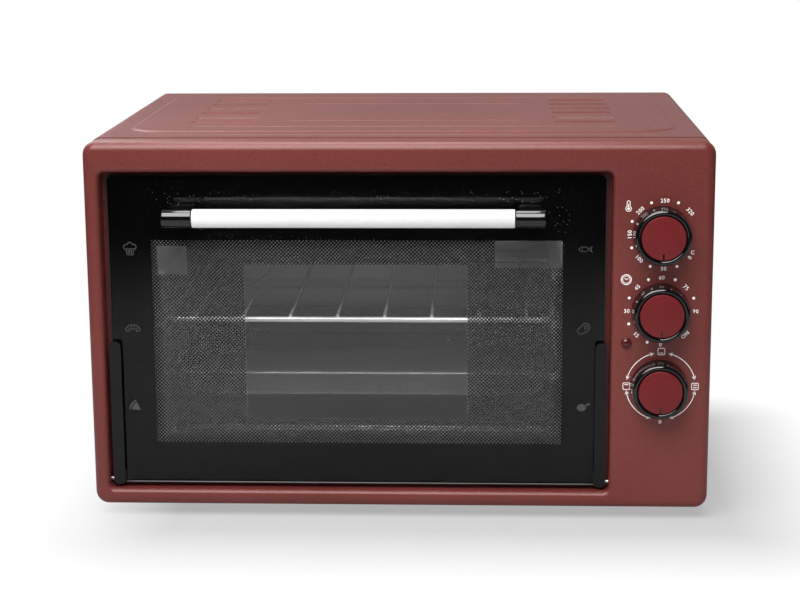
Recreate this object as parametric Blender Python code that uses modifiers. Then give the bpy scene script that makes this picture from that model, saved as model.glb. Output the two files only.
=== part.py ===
"""Mini oven: a counter-top electric oven with a pressed steel case, a drop-down glass door and three knobs.

Lengths are in metres and +Z is up. The pieces are drawn from the front face: x to the right, y back from the
face, z up from the counter. The empty named oven then moves them all, so that the origin is under the middle.
"""

import math

import bmesh
import bpy
from mathutils import Matrix, Vector

# Case
case_width = 0.520
case_depth = 0.385
case_height = 0.3114
foot_height = 0.010
frame_sheet = 0.0010
panel_sheet = 0.0008
frame_flange = 0.030
frame_corner = 0.011
frame_roll = 0.0078
seat_gap = 0.0003
overrun = 0.002

# Door opening in the front frame, and the seat behind it
opening_side = 0.013
control_strip = 0.083
opening_head = 0.0252
opening_sill = 0.014
opening_corner = 0.005
opening_roll = 0.0045
opening_depth = 0.0185

# Cooking space
cavity_side = 0.040
cavity_head = 0.0112
cavity_rear = 0.0552
cavity_sill = 0.012
cavity_corner = 0.004
shelf_reach = 0.008
shelf_lip = 0.003
shelf_slope = 0.006
shelf_pitch = 0.0447
shelf_count = 3
shelf_first = 0.0818
back_rib_reach = 0.0025
back_rib_height = 0.010
back_rib_margin = 0.020
back_rib_shares = (0.25, 0.40, 0.55)

# Outer wrapper
wrapper_inset = 0.0014
wrapper_corner = 0.0088
wrapper_tongue = 0.010
wrapper_step = 0.0016
wrapper_groove = 0.0022
wrapper_joggle = 0.0006
wrapper_back_roll = 0.004
wrapper_back_lip = 0.014
platform_side = 0.0235
platform_front = 0.0660
platform_back = 0.036
platform_corner = 0.030
platform_rise = 0.0012
platform_slope = 0.0015
pressed_line_width = 0.0032
pressed_line_depth = 0.0008
long_line_inset = 0.0504
short_line_inset = 0.1304
front_line_inset = 0.0420
front_line_place = 0.0500
long_line_front = 0.0985
long_line_rear = 0.0590
short_line_front = 0.1420
short_line_rear = 0.1100
louvre_length = 0.0565
louvre_width = 0.0070
louvre_count = 6
louvre_front = 0.1250
louvre_rear = 0.0875
louvre_inset = 0.0739

# Base, feet and back
base_flange = 0.014
foot_radius = 0.009
foot_stud_radius = 0.003
foot_stud = 0.005
foot_side = 0.035
foot_front = 0.052
foot_back = 0.040
foot_barb_share = 0.50
foot_middle_share = 0.88
foot_bottom_share = 0.80
back_margin = 0.0055
spacer_width = 0.050
spacer_height = 0.030
spacer_reach = 0.012
spacer_apart = 0.340
spacer_drop = 0.060
spacer_draft = 0.004
back_vent_apart = 0.170
back_vent_width = 0.046
back_vent_height = 0.0035
back_vent_pitch = 0.010
back_vent_count = 7
back_vent_level = 0.115
gland_radius = 0.0065
gland_flange_radius = 0.010
gland_flange = 0.003
gland_bore_radius = 0.0042
gland_length = 0.010
gland_side = 0.055
gland_level = 0.040
screw_radius = 0.0018
screw_head_radius = 0.0038
screw_head = 0.0022
screw_length = 0.008
screw_tip_share = 0.3
head_width_shares = (0.60, 0.92)
head_height_shares = (0.60, 0.20)
back_screw_drop = 0.030
drive_width = 0.0009
drive_length = 0.0050
drive_depth = 0.0009

# Door
glass_setback = 0.0085
glass_thickness = 0.004
glass_side_gap = 0.0045
glass_top_gap = 0.0027
glass_bottom_gap = 0.0035
glass_chamfer = 0.0033
hinge_height = 0.0305
hinge_behind_glass = 0.0025
door_limit = math.radians(86)
bracket_wrap = 0.0016
bracket_width = 0.0096
bracket_height = 0.1255
bracket_front = 0.0020
bracket_back = 0.0025
bracket_drop = 0.0042
bracket_round = 0.0045
notch_width = 0.0075
notch_height = 0.0105
pin_radius = 0.0016
pin_head_radius = 0.0030
pin_head = 0.0022
pin_reach = 0.0062
pin_tip_share = 0.6
stay_radius = 0.055
stay_width = 0.0040
stay_thickness = 0.0016
stay_ear = 0.0026
stay_ear_angle = math.radians(5)
stay_clearance = 0.0008
stay_foot_height = 0.020
stay_foot_width = 0.0042
stay_foot_thickness = 0.0016
stay_inboard = 0.0052
stay_bite_share = 0.3

# Handle
handle_drop = 0.0322
handle_radius = 0.0077
handle_standoff = 0.0265
handle_inset = 0.076
handle_post_width = 0.0251
post_stem_height = 0.0135
post_edge = 0.0030
post_end_edge = 0.0010
post_foot = 0.0060
post_joint = 0.004
spigot_share = 0.5
handle_screw_radius = 0.0021
handle_screw_head_radius = 0.0045
handle_screw_head = 0.0026
handle_screw_grip = 0.012

# Rack and tray
rack_side_gap = 0.0030
rail_radius = 0.0025
rack_front = 0.035
rack_rear = 0.0298
rack_corner = 0.013
rod_radius = 0.0015
rod_count = 8
rod_inset = 0.0262
rod_overlap = 0.0008
tray_front = 0.034
tray_rear = 0.0278
tray_depth = 0.024
tray_rim = 0.009
tray_sheet = 0.0010
tray_corner = 0.016
tray_floor_inset = 0.012
tray_bend_taper = 0.0042
tray_bend_share = 0.8

# Heating elements
element_radius = 0.0040
element_front = 0.0802
element_rear = 0.0798
element_low = 0.016
element_high = 0.017
terminal_radius = 0.0020
terminal_length = 0.007
bush_radius = 0.0062
bush_flange_radius = 0.0092
bush_flange = 0.0040
bush_length = 0.0075

# Controls
knob_side = 0.0430
knob_drop = 0.0763
knob_pitch = 0.0645
knob_radius = 0.0242
knob_front_radius = 0.0229
knob_height = 0.0186
knob_clearance = 0.0007
knob_edge = 0.0012
knob_wall = 0.0026
knob_boss_radius = 0.0065
knob_boss_recess = 0.0030
knob_seat_depth = 0.0022
cap_radius = 0.0180
cap_thickness = 0.0026
cap_edge = 0.0004
notch_length = 0.0045
pointer_width = 0.0020
pointer_depth = 0.0010
shaft_radius = 0.0030
shaft_flat = 0.0008
shaft_engage = 0.0105
shaft_hole_radius = 0.0050
control_width = 0.040
control_height = 0.042
thermostat_depth = 0.030
timer_depth = 0.046
selector_depth = 0.034
control_edge = 0.0015
blade_width = 0.0063
blade_thickness = 0.0008
blade_length = 0.008
blade_apart = 0.016
lamp_across = 0.0276
lamp_down = 0.02675
lamp_radius = 0.0037
lamp_flange_radius = 0.0045
lamp_flange = 0.0009
lamp_dome = 0.0018
lamp_length = 0.024
lamp_dome_shares = ((0.55, 0.84), (0.90, 0.40))
bulb_radius = 0.0030
bulb_length = 0.080
bulb_front = 0.0852
bulb_drop = 0.040
capillary_radius = 0.0009
capillary_bend = 0.012
capillary_exit_share = 0.8
capillary_out_shares = ((0, 0.5), (0, -0.33), (0.33, -0.9), (0.8, -1.0), (2.0, -1.1))
capillary_in_shares = ((-1.0, -1.5), (-0.25, -2.0))
capillary_drop_share = 3.0
capillary_hole_radius = 0.0030
block_width = 0.026
block_depth = 0.042
block_height = 0.018
block_edge = 0.0015
block_rear = 0.085
block_screws = 3
block_screw_radius = 0.0030

# Facets
corner_steps = 4
roll_steps = 4
round_sides = 20
small_sides = 12
knob_sides = 28
small_steps = 2
slot_round_share = 0.95
smooth_angle = 40
wire_sides = 8
arc_steps = 14

# Places that follow
half_case = case_width / 2
case_top = foot_height + case_height
opening_left = -half_case + opening_side
opening_right = half_case - control_strip
opening_middle = (opening_left + opening_right) / 2
opening_bottom = foot_height + opening_sill
opening_top = case_top - opening_head
cavity_left = opening_left + cavity_side
cavity_right = opening_right - cavity_side
cavity_width = cavity_right - cavity_left
cavity_bottom = opening_bottom + cavity_sill
cavity_top = opening_top - cavity_head
cavity_front = opening_depth + frame_sheet + seat_gap
cavity_back = case_depth - cavity_rear
base_bottom = foot_height + frame_sheet + seat_gap
wrapper_half = half_case - wrapper_inset
wrapper_front = frame_flange + wrapper_groove
base_front = wrapper_front + wrapper_joggle + panel_sheet
glass_front = glass_setback
glass_back = glass_setback + glass_thickness
glass_left = opening_left + glass_side_gap
glass_right = opening_right - glass_side_gap
glass_bottom = opening_bottom + glass_bottom_gap
glass_top = opening_top - glass_top_gap
hinge_y = glass_setback + hinge_behind_glass
hinge_z = hinge_height
handle_y = glass_setback - handle_standoff
handle_level = glass_top - handle_drop
handle_bar_length = glass_right - glass_left - 2 * handle_inset
back_face = case_depth + seat_gap
back_skin = back_face + panel_sheet
reach_front = handle_radius - handle_y
reach_back = back_skin + spacer_reach
face_y = (reach_front - reach_back) / 2
tray_shelf = cavity_bottom + shelf_first
rack_shelf = tray_shelf + shelf_pitch
knob_column = half_case - knob_side
knob_levels = [case_top - knob_drop - i * knob_pitch for i in range(3)]
control_depths = (thermostat_depth, timer_depth, selector_depth)
rack_back = cavity_back - rack_rear
tray_back = cavity_back - tray_rear
bulb_start = cavity_front + bulb_front
bulb_height = cavity_top - bulb_drop
platform_half = wrapper_half - platform_side

AXES = {
    "X": Matrix.Rotation(math.pi / 2, 4, "Y"),
    "Y": Matrix.Rotation(math.pi / 2, 4, "X"),
    "Z": Matrix.Identity(4),
}
YZ_PLANE = Matrix(((0, 0, 1, 0), (1, 0, 0, 0), (0, 1, 0, 0), (0, 0, 0, 1)))

FINISHES = {
    "red_paint": ((0.235, 0.050, 0.048), 0.36, 0.55),
    "red_cap": ((0.200, 0.022, 0.028), 0.45, 0.10),
    "glass": ((0.010, 0.010, 0.011), 0.05, 0.0),
    "black_plastic": ((0.012, 0.012, 0.013), 0.25, 0.0),
    "matt_black": ((0.020, 0.020, 0.021), 0.55, 0.0),
    "white_lacquer": ((0.80, 0.80, 0.79), 0.22, 0.0),
    "grey_steel": ((0.32, 0.32, 0.32), 0.40, 0.90),
    "zinc": ((0.42, 0.42, 0.41), 0.45, 0.95),
    "chrome": ((0.60, 0.60, 0.60), 0.15, 1.0),
    "black_enamel": ((0.022, 0.022, 0.024), 0.20, 0.0),
    "element_steel": ((0.30, 0.29, 0.27), 0.35, 0.95),
    "ceramic": ((0.72, 0.70, 0.65), 0.60, 0.0),
    "red_lens": ((0.130, 0.010, 0.012), 0.12, 0.0),
    "switch_plastic": ((0.60, 0.57, 0.50), 0.50, 0.0),
    "copper": ((0.55, 0.27, 0.17), 0.35, 1.0),
    "rubber": ((0.018, 0.018, 0.018), 0.80, 0.0),
}


def clear_scene():
    for obj in list(bpy.data.objects):
        bpy.data.objects.remove(obj, do_unlink=True)


def new_collection(name, shown):
    made = bpy.data.collections.new(name)
    made.hide_render = not shown
    bpy.context.scene.collection.children.link(made)
    return made


def new_material(name):
    colour, roughness, metallic = FINISHES[name]
    made = bpy.data.materials.new(name)
    made.use_nodes = True
    shader = made.node_tree.nodes["Principled BSDF"]
    shader.inputs["Base Color"].default_value = (*colour, 1.0)
    shader.inputs["Roughness"].default_value = roughness
    shader.inputs["Metallic"].default_value = metallic
    made.diffuse_color = (*colour, 1.0)
    return made


clear_scene()
parts = new_collection("mini_oven", True)
cutters = new_collection("cutters", False)
oven = bpy.data.objects.new("oven", None)
parts.objects.link(oven)
oven.location = (0, face_y, 0)
materials = {name: new_material(name) for name in FINISHES}


def add(name, mesh, finish):
    """A new object under the oven's empty. Without a finish it is a cutter, or a shape to be joined."""
    obj = bpy.data.objects.new(name, mesh)
    obj.parent = oven
    if finish:
        parts.objects.link(obj)
        obj.data.materials.append(materials[finish])
    else:
        cutters.objects.link(obj)
        obj.hide_render = True
        obj.display_type = "WIRE"
    return obj


def from_bmesh(name, bm, finish):
    bmesh.ops.recalc_face_normals(bm, faces=bm.faces)
    mesh = bpy.data.meshes.new(name)
    bm.to_mesh(mesh)
    bm.free()
    return add(name, mesh, finish)


def smooth(obj):
    obj.data.shade_smooth()
    obj.data.set_sharp_from_angle(angle=math.radians(smooth_angle))
    return obj


def box(name, finish, x, y, z):
    """A block between the low and high value of each pair."""
    low = Vector((x[0], y[0], z[0]))
    high = Vector((x[1], y[1], z[1]))
    bm = bmesh.new()
    place = Matrix.Translation((low + high) / 2) @ Matrix.Diagonal((*(high - low), 1))
    bmesh.ops.create_cube(bm, size=1, matrix=place)
    return from_bmesh(name, bm, finish)


def rod(name, finish, axis, start, end, centre, radius, sides=round_sides):
    """A cylinder along an axis, from start to end. Centre gives the other two coordinates, in order."""
    index = "XYZ".index(axis)
    point = list(centre)
    point.insert(index, (start + end) / 2)
    bm = bmesh.new()
    place = Matrix.Translation(point) @ AXES[axis]
    bmesh.ops.create_cone(
        bm, cap_ends=True, segments=sides, radius1=radius, radius2=radius, depth=end - start, matrix=place
    )
    return smooth(from_bmesh(name, bm, finish))


def turned(name, finish, profile, axis, place, sides, closed=False):
    """A profile of (radius, height) points, down its outer side, turned about the axis through place."""
    mesh = bpy.data.meshes.new(name)
    count = len(profile)
    edges = [(i, i + 1) for i in range(count - 1)] + ([(count - 1, 0)] if closed else [])
    mesh.from_pydata([(r, 0, h) for r, h in profile], edges, [])
    obj = add(name, mesh, finish)
    obj.matrix_basis = Matrix.Translation(place) @ AXES[axis]
    screw = obj.modifiers.new("turn", "SCREW")
    screw.steps = sides
    screw.render_steps = sides
    screw.use_merge_vertices = True
    screw.merge_threshold = 0.00001
    screw.use_smooth_shade = True
    return obj


def settle(obj):
    """Replaces an object's mesh with its evaluated one, welded, and removes its modifiers."""
    bpy.context.view_layer.update()
    graph = bpy.context.evaluated_depsgraph_get()
    mesh = bpy.data.meshes.new_from_object(obj.evaluated_get(graph))
    bm = bmesh.new()
    bm.from_mesh(mesh)
    bmesh.ops.remove_doubles(bm, verts=bm.verts, dist=0.000001)
    bmesh.ops.recalc_face_normals(bm, faces=bm.faces)
    bm.to_mesh(mesh)
    bm.free()
    return mesh


def curve_to_mesh(curve, name, finish, place=Matrix.Identity(4)):
    """A curve object made into a welded mesh object, so that it can be cut and joined."""
    guide = bpy.data.objects.new(name + "_guide", curve)
    cutters.objects.link(guide)
    mesh = settle(guide)
    mesh.transform(place)
    bpy.data.objects.remove(guide, do_unlink=True)
    mesh.materials.clear()
    return add(name, mesh, finish)


def plate(name, finish, plane, outlines, low, high):
    """Flat outlines, the first one outside and the rest holes, made thick along the third axis from low to high."""
    curve = bpy.data.curves.new(name, "CURVE")
    curve.dimensions = "2D"
    curve.fill_mode = "BOTH"
    curve.extrude = (high - low) / 2
    for points in outlines:
        spline = curve.splines.new("POLY")
        spline.points.add(len(points) - 1)
        for point, (u, v) in zip(spline.points, points):
            point.co = (u, v, 0, 1)
        spline.use_cyclic_u = True
    middle = (high + low) / 2
    frames = {
        "XY": Matrix.Translation((0, 0, middle)),
        "XZ": Matrix.Translation((0, middle, 0)) @ Matrix.Rotation(math.pi / 2, 4, "X"),
        "YZ": Matrix.Translation((middle, 0, 0)) @ YZ_PLANE,
    }
    return curve_to_mesh(curve, name, finish, frames[plane])


def tube(name, finish, points, radius, cyclic=False):
    """A round wire through the points."""
    curve = bpy.data.curves.new(name, "CURVE")
    curve.dimensions = "3D"
    curve.bevel_depth = radius
    curve.bevel_resolution = small_steps
    curve.use_fill_caps = not cyclic
    spline = curve.splines.new("POLY")
    spline.points.add(len(points) - 1)
    for point, place in zip(spline.points, points):
        point.co = (*place, 1)
    spline.use_cyclic_u = cyclic
    return smooth(curve_to_mesh(curve, name, finish))


def lofted(name, finish, sections, thickness, closed, towards):
    """A sheet through sections of equal length, made thick on the side away from the given direction."""
    bm = bmesh.new()
    rows = [[bm.verts.new(point) for point in section] for section in sections]
    for first, second in zip(rows, rows[1:]):
        count = len(first)
        for i in range(count if closed else count - 1):
            j = (i + 1) % count
            bm.faces.new((first[i], first[j], second[j], second[i]))
    bmesh.ops.recalc_face_normals(bm, faces=bm.faces)
    bm.normal_update()
    facing = sum(face.normal.dot(towards) * face.calc_area() for face in bm.faces)
    if facing < 0:
        bmesh.ops.reverse_faces(bm, faces=bm.faces)
    mesh = bpy.data.meshes.new(name)
    bm.to_mesh(mesh)
    bm.free()
    obj = smooth(add(name, mesh, finish))
    solid = obj.modifiers.new("sheet", "SOLIDIFY")
    solid.thickness = thickness
    solid.offset = -1
    solid.use_even_offset = True
    return obj


def combine(obj, other, operation):
    """Cuts, joins or keeps what is common with another object, which becomes a helper."""
    step = obj.modifiers.new(operation.lower(), "BOOLEAN")
    step.operation = operation
    step.object = other
    step.solver = "EXACT"
    return obj


def bevelled(obj, width, segments=small_steps):
    edge = obj.modifiers.new("edge", "BEVEL")
    edge.width = width
    edge.segments = segments
    edge.limit_method = "ANGLE"
    return obj


def rounded(x0, x1, z0, z1, radius, steps=corner_steps):
    """A rectangle with round corners, as points."""
    points = []
    corners = ((x1, z1, 0), (x0, z1, 1), (x0, z0, 2), (x1, z0, 3))
    for cx, cz, quarter in corners:
        mx = cx - radius if cx == x1 else cx + radius
        mz = cz - radius if cz == z1 else cz + radius
        for k in range(steps + 1):
            angle = (quarter + k / steps) * math.pi / 2
            points.append((mx + radius * math.cos(angle), mz + radius * math.sin(angle)))
    return points


def stadium(cx, cy, length, width, steps=corner_steps):
    """A slot with round ends, along the first axis."""
    end_radius = width / 2 * slot_round_share
    return rounded(cx - length / 2, cx + length / 2, cy - width / 2, cy + width / 2, end_radius, steps)


def quarter_turn(steps=roll_steps):
    """Pairs that run from (0, 1) to (1, 0) round a quarter circle: how far in, and how far back."""
    angles = [k / steps * math.pi / 2 for k in range(steps + 1)]
    return [(1 - math.cos(a), 1 - math.sin(a)) for a in angles]


def at_depth(points, y):
    return [(x, y, z) for x, z in points]


def set_origin(obj, point):
    """Moves an object's origin to a point and leaves its shape where it is."""
    shift = Vector(point) - obj.location
    obj.data.transform(Matrix.Translation(-shift))
    obj.location = Vector(point)


def mirror_x(x, side):
    """The place that lies across from x on the other side of the door's middle, for side 1."""
    return x if side < 0 else 2 * opening_middle - x


def make_front_frame():
    """The pressed fascia: outer flange, rolled edge, face, rolled opening, side walls and door seat."""
    sections = []

    def outer(inset, y):
        radius = frame_corner - inset
        outline = rounded(
            -half_case + inset, half_case - inset, foot_height + inset, case_top - inset, radius
        )
        sections.append(at_depth(outline, y))

    def opening(grow, y):
        outline = rounded(
            opening_left - grow,
            opening_right + grow,
            opening_bottom - grow,
            opening_top + grow,
            opening_corner + grow,
        )
        sections.append(at_depth(outline, y))

    outer(0, frame_flange)
    for inward, behind in quarter_turn():
        outer(frame_roll * inward, frame_roll * behind)
    for behind, outward in quarter_turn():
        opening(opening_roll * outward, opening_roll * behind)
    opening(0, opening_depth)
    sections.append(
        at_depth(rounded(cavity_left, cavity_right, cavity_bottom, cavity_top, cavity_corner), opening_depth)
    )
    frame = lofted("front_frame", "red_paint", sections, frame_sheet, True, Vector((0, -1, 0)))
    for i, level in enumerate(knob_levels):
        hole = rod(
            f"cut_shaft_{i}", None, "Y", -overrun, frame_sheet + overrun, (knob_column, level), shaft_hole_radius
        )
        combine(frame, hole, "DIFFERENCE")
    hole = rod(
        "cut_lamp", None, "Y", -overrun, frame_sheet + overrun, lamp_place(), lamp_radius + seat_gap
    )
    combine(frame, hole, "DIFFERENCE")
    slot_low = math.sqrt((stay_radius - stay_width / 2) ** 2 - stay_flange_reach() ** 2)
    slot_high = stay_radius + stay_width / 2
    for side in (-1, 1):
        wall = opening_left if side < 0 else opening_right
        hole = rod(
            f"cut_pin_{side}",
            None,
            "X",
            wall - frame_sheet - overrun,
            wall + frame_sheet + overrun,
            (hinge_y, hinge_z),
            pin_radius + seat_gap,
            small_sides,
        )
        combine(frame, hole, "DIFFERENCE")
        x = stay_middle(side)
        half = stay_thickness / 2 + stay_clearance
        slot = box(
            f"cut_stay_{side}",
            None,
            (x - half, x + half),
            (opening_depth - overrun, opening_depth + frame_sheet + overrun),
            (hinge_z + slot_low - stay_clearance, hinge_z + slot_high + stay_clearance),
        )
        combine(frame, slot, "DIFFERENCE")


def lamp_place():
    return (knob_column - lamp_across, knob_levels[1] - lamp_down)


def stay_middle(side):
    return mirror_x(glass_left - bracket_wrap + stay_inboard, side)


def stay_flange_reach():
    """How far the back of the door seat lies behind the hinge axis."""
    return opening_depth + frame_sheet - hinge_y


def wrapper_section(inset, y):
    """The case's arch at one depth: up the left side, over the top and down the right side."""
    radius = wrapper_corner
    x = wrapper_half - inset
    top = case_top - inset
    points = [(-x, base_bottom)]
    for sign in (-1, 1):
        for k in range(corner_steps + 1):
            share = k / corner_steps if sign < 0 else 1 - k / corner_steps
            angle = share * math.pi / 2
            px = sign * (x - radius + radius * math.cos(angle))
            points.append((px, top - radius + radius * math.sin(angle)))
    points.append((x, base_bottom))
    return at_depth(points, y)


def make_outer_wrapper():
    """The top and both sides, with a tongue under the frame, a raised panel, pressed lines and louvres."""
    sections = [
        wrapper_section(wrapper_step, wrapper_front - wrapper_tongue),
        wrapper_section(wrapper_step, wrapper_front),
        wrapper_section(0, wrapper_front + wrapper_joggle),
    ]
    for inward, behind in quarter_turn():
        sections.append(wrapper_section(wrapper_back_roll * inward, case_depth - wrapper_back_roll * behind))
    sections.append(wrapper_section(wrapper_back_lip, case_depth))
    wrapper = lofted("outer_wrapper", "red_paint", sections, panel_sheet, False, Vector((0, 0, 1)))
    clear = box(
        "cut_tongue",
        None,
        (-half_case, half_case),
        (wrapper_front - wrapper_tongue - overrun, wrapper_front + wrapper_joggle),
        (0, base_bottom + base_flange + seat_gap),
    )
    combine(wrapper, clear, "DIFFERENCE")
    raise_platform(wrapper)
    for i, (inset, place, surface) in enumerate(pressed_lines()):
        length = 2 * (platform_half - inset) if i else 2 * (wrapper_half - inset)
        line = stadium(0, place, length, pressed_line_width)
        under = surface - pressed_line_depth - panel_sheet
        wider = stadium(0, place, length + 2 * panel_sheet, pressed_line_width + 2 * panel_sheet)
        rib = plate(f"line_rib_{i}", None, "XY", [wider], under, surface - panel_sheet / 2)
        combine(wrapper, rib, "UNION")
        cut = plate(f"line_cut_{i}", None, "XY", [line], surface - pressed_line_depth, surface + overrun)
        combine(wrapper, cut, "DIFFERENCE")
    pitch = (case_depth - louvre_rear - louvre_front) / (louvre_count - 1)
    for side in (-1, 1):
        for i in range(louvre_count):
            place = louvre_front + i * pitch
            slot = stadium(side * (platform_half - louvre_inset), place, louvre_length, louvre_width)
            cut = plate(
                f"louvre_{side}_{i}", None, "XY", [slot], case_top - panel_sheet - overrun, case_top + overrun
            )
            combine(wrapper, cut, "DIFFERENCE")


def pressed_lines():
    """Each pressed line's inset, place and surface height: one before the raised panel, and four on it."""
    raised = case_top + platform_rise
    return (
        (front_line_inset, front_line_place, case_top),
        (long_line_inset, long_line_front, raised),
        (short_line_inset, short_line_front, raised),
        (short_line_inset, case_depth - short_line_rear, raised),
        (long_line_inset, case_depth - long_line_rear, raised),
    )


def platform_block(name, inset, base, top):
    """The raised panel's solid, with sloping edges, between two heights."""
    low = platform_half - inset
    bm = bmesh.new()
    rows = []
    for extra, z in ((0, base), (0, case_top - inset), (platform_slope, top)):
        outline = rounded(
            -low + extra,
            low - extra,
            platform_front + inset + extra,
            case_depth - platform_back - inset - extra,
            platform_corner - extra,
        )
        rows.append([bm.verts.new((x, y, z)) for x, y in outline])
    for first, second in zip(rows, rows[1:]):
        for i in range(len(first)):
            j = (i + 1) % len(first)
            bm.faces.new((first[i], first[j], second[j], second[i]))
    bm.faces.new(rows[0][::-1])
    bm.faces.new(rows[-1])
    return from_bmesh(name, bm, None)


def raise_platform(wrapper):
    slab = platform_block("platform", 0, case_top - panel_sheet, case_top + platform_rise)
    combine(wrapper, slab, "UNION")
    hollow = platform_block(
        "platform_hollow", panel_sheet, case_top - panel_sheet - overrun, case_top + platform_rise - panel_sheet
    )
    combine(wrapper, hollow, "DIFFERENCE")


def channel(name, finish, x, y, level, flange, sheet, up):
    """A flat panel with a flange along each side, turned up or down. The sheet lies inside the given sizes."""
    sign = 1 if up else -1
    profile = ((x[0], level + sign * flange), (x[0], level), (x[1], level), (x[1], level + sign * flange))
    sections = [[(px, depth, pz) for px, pz in profile] for depth in y]
    return lofted(name, finish, sections, sheet, False, Vector((0, 0, -sign)))


def make_base():
    """The floor of the case, its feet and their holes."""
    half = wrapper_half - panel_sheet - seat_gap
    along = (base_front, case_depth - wrapper_back_roll)
    base = channel("base_panel", "zinc", (-half, half), along, base_bottom, base_flange, panel_sheet, True)
    for end, y in (("front", foot_front), ("back", case_depth - foot_back)):
        for side, name in ((-1, "left"), (1, "right")):
            x = side * (half_case - foot_side)
            hole = rod(
                f"cut_foot_{end}_{name}",
                None,
                "Z",
                base_bottom - overrun,
                base_bottom + panel_sheet + overrun,
                (x, y),
                foot_stud_radius + seat_gap,
                small_sides,
            )
            combine(base, hole, "DIFFERENCE")
            make_foot(f"foot_{end}_{name}", x, y)


def make_foot(name, x, y):
    """A moulded foot, wider at the base panel, with a stud pressed up through it."""
    top = base_bottom - seat_gap
    head = base_bottom + panel_sheet + seat_gap
    barb = foot_stud_radius + 2 * seat_gap
    profile = (
        (0, head + foot_stud),
        (foot_stud_radius * foot_barb_share, head + foot_stud),
        (barb, head),
        (foot_stud_radius, head),
        (foot_stud_radius, top),
        (foot_radius, top),
        (foot_radius * foot_middle_share, panel_sheet),
        (foot_radius * foot_bottom_share, 0),
        (0, 0),
    )
    turned(name, "rubber", profile, "Z", (x, y, 0), small_sides)


def make_back():
    """The back panel with its wall spacers, vents and cord hole, and what is fixed in it."""
    half = wrapper_half - back_margin
    low = base_bottom + back_margin
    high = case_top - back_margin
    outline = rounded(-half, half, low, high, wrapper_corner)
    panel = plate("back_panel", "zinc", "XZ", [outline], back_face, back_skin)
    for i in range(back_vent_count):
        for sign in (-1, 1):
            level = back_vent_level + i * back_vent_pitch
            slot = stadium(sign * back_vent_apart / 2, level, back_vent_width, back_vent_height, small_steps)
            vent = plate(f"back_vent_{sign}_{i}", None, "XZ", [slot], back_face - overrun, back_skin + overrun)
            combine(panel, vent, "DIFFERENCE")
    for side in (-1, 1):
        x = side * spacer_apart / 2
        z = case_top - spacer_drop
        bump = spacer_block(f"spacer_{side}", x, z, 0, back_face, back_skin + spacer_reach)
        combine(panel, bump, "UNION")
        inner = spacer_block(
            f"spacer_hollow_{side}", x, z, panel_sheet, back_face - overrun, back_skin + spacer_reach - panel_sheet
        )
        combine(panel, inner, "DIFFERENCE")
    gland = (half_case - gland_side, gland_level)
    hole = rod("cut_gland", None, "Y", back_face - overrun, back_skin + overrun, gland, gland_radius + seat_gap)
    combine(panel, hole, "DIFFERENCE")
    make_gland(gland)
    for end, z in (("low", low + back_screw_drop), ("high", high - back_screw_drop)):
        for side, name in ((-1, "left"), (1, "right")):
            x = side * (wrapper_half - (wrapper_back_lip + back_margin) / 2)
            hole = rod(
                f"cut_back_screw_{end}_{name}",
                None,
                "Y",
                case_depth - panel_sheet - overrun,
                back_skin + overrun,
                (x, z),
                screw_radius + seat_gap,
                small_sides,
            )
            combine(panel, hole, "DIFFERENCE")
            combine(bpy.data.objects["outer_wrapper"], hole, "DIFFERENCE")
            make_back_screw(f"back_screw_{end}_{name}", x, z)


def spacer_block(name, x, z, inset, front, back):
    """A wall spacer's block, narrower at its outer end."""
    bm = bmesh.new()
    rows = []
    for draft, y in ((0, front), (spacer_draft, back)):
        wide = spacer_width / 2 - inset - draft
        tall = spacer_height / 2 - inset - draft
        outline = rounded(x - wide, x + wide, z - tall, z + tall, spacer_draft, small_steps)
        rows.append([bm.verts.new((px, y, pz)) for px, pz in outline])
    count = len(rows[0])
    for i in range(count):
        j = (i + 1) % count
        bm.faces.new((rows[0][i], rows[0][j], rows[1][j], rows[1][i]))
    bm.faces.new(rows[0][::-1])
    bm.faces.new(rows[1])
    return from_bmesh(name, bm, None)


def make_gland(place):
    """The cord bush: a flanged ring in the back panel, with no cord in it."""
    profile = (
        (gland_bore_radius, gland_flange),
        (gland_flange_radius, gland_flange),
        (gland_flange_radius, 0),
        (gland_radius, 0),
        (gland_radius, -gland_length),
        (gland_bore_radius, -gland_length),
    )
    bush = turned(
        "cord_inlet_bush", "matt_black", profile, "Z", (place[0], back_skin + seat_gap, place[1]), round_sides, True
    )
    bush.matrix_basis = bush.matrix_basis @ Matrix.Rotation(-math.pi / 2, 4, "X")


def screw_profile(radius, head_radius, head, length):
    """A pan head screw, head up, with the underside of its head at zero."""
    inner, outer = head_width_shares
    upper, lower = head_height_shares
    return (
        (0, head),
        (head_radius * inner, head),
        (head_radius * outer, head * upper),
        (head_radius, head * lower),
        (head_radius, 0),
        (radius, 0),
        (radius, -length + radius),
        (radius * screw_tip_share, -length),
        (0, -length),
    )


def cross_slot(screw, place, turn, head):
    """Cuts a cross into a screw's head. Turn maps the head's up direction to where it faces."""
    for i in range(2):
        size = (drive_length, drive_width) if i == 0 else (drive_width, drive_length)
        half = [value / 2 for value in size]
        depth = (head - drive_depth, head + overrun)
        slot = box(f"{screw.name}_drive_{i}", None, (-half[0], half[0]), (-half[1], half[1]), depth)
        slot.matrix_basis = Matrix.Translation(place) @ turn
        combine(screw, slot, "DIFFERENCE")


def make_back_screw(name, x, z):
    profile = screw_profile(screw_radius, screw_head_radius, screw_head, screw_length)
    place = (x, back_skin + seat_gap, z)
    turn = Matrix.Rotation(-math.pi / 2, 4, "X")
    screw = turned(name, "zinc", profile, "Z", place, small_sides)
    screw.matrix_basis = Matrix.Translation(place) @ turn
    cross_slot(screw, place, turn, screw_head)


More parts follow.
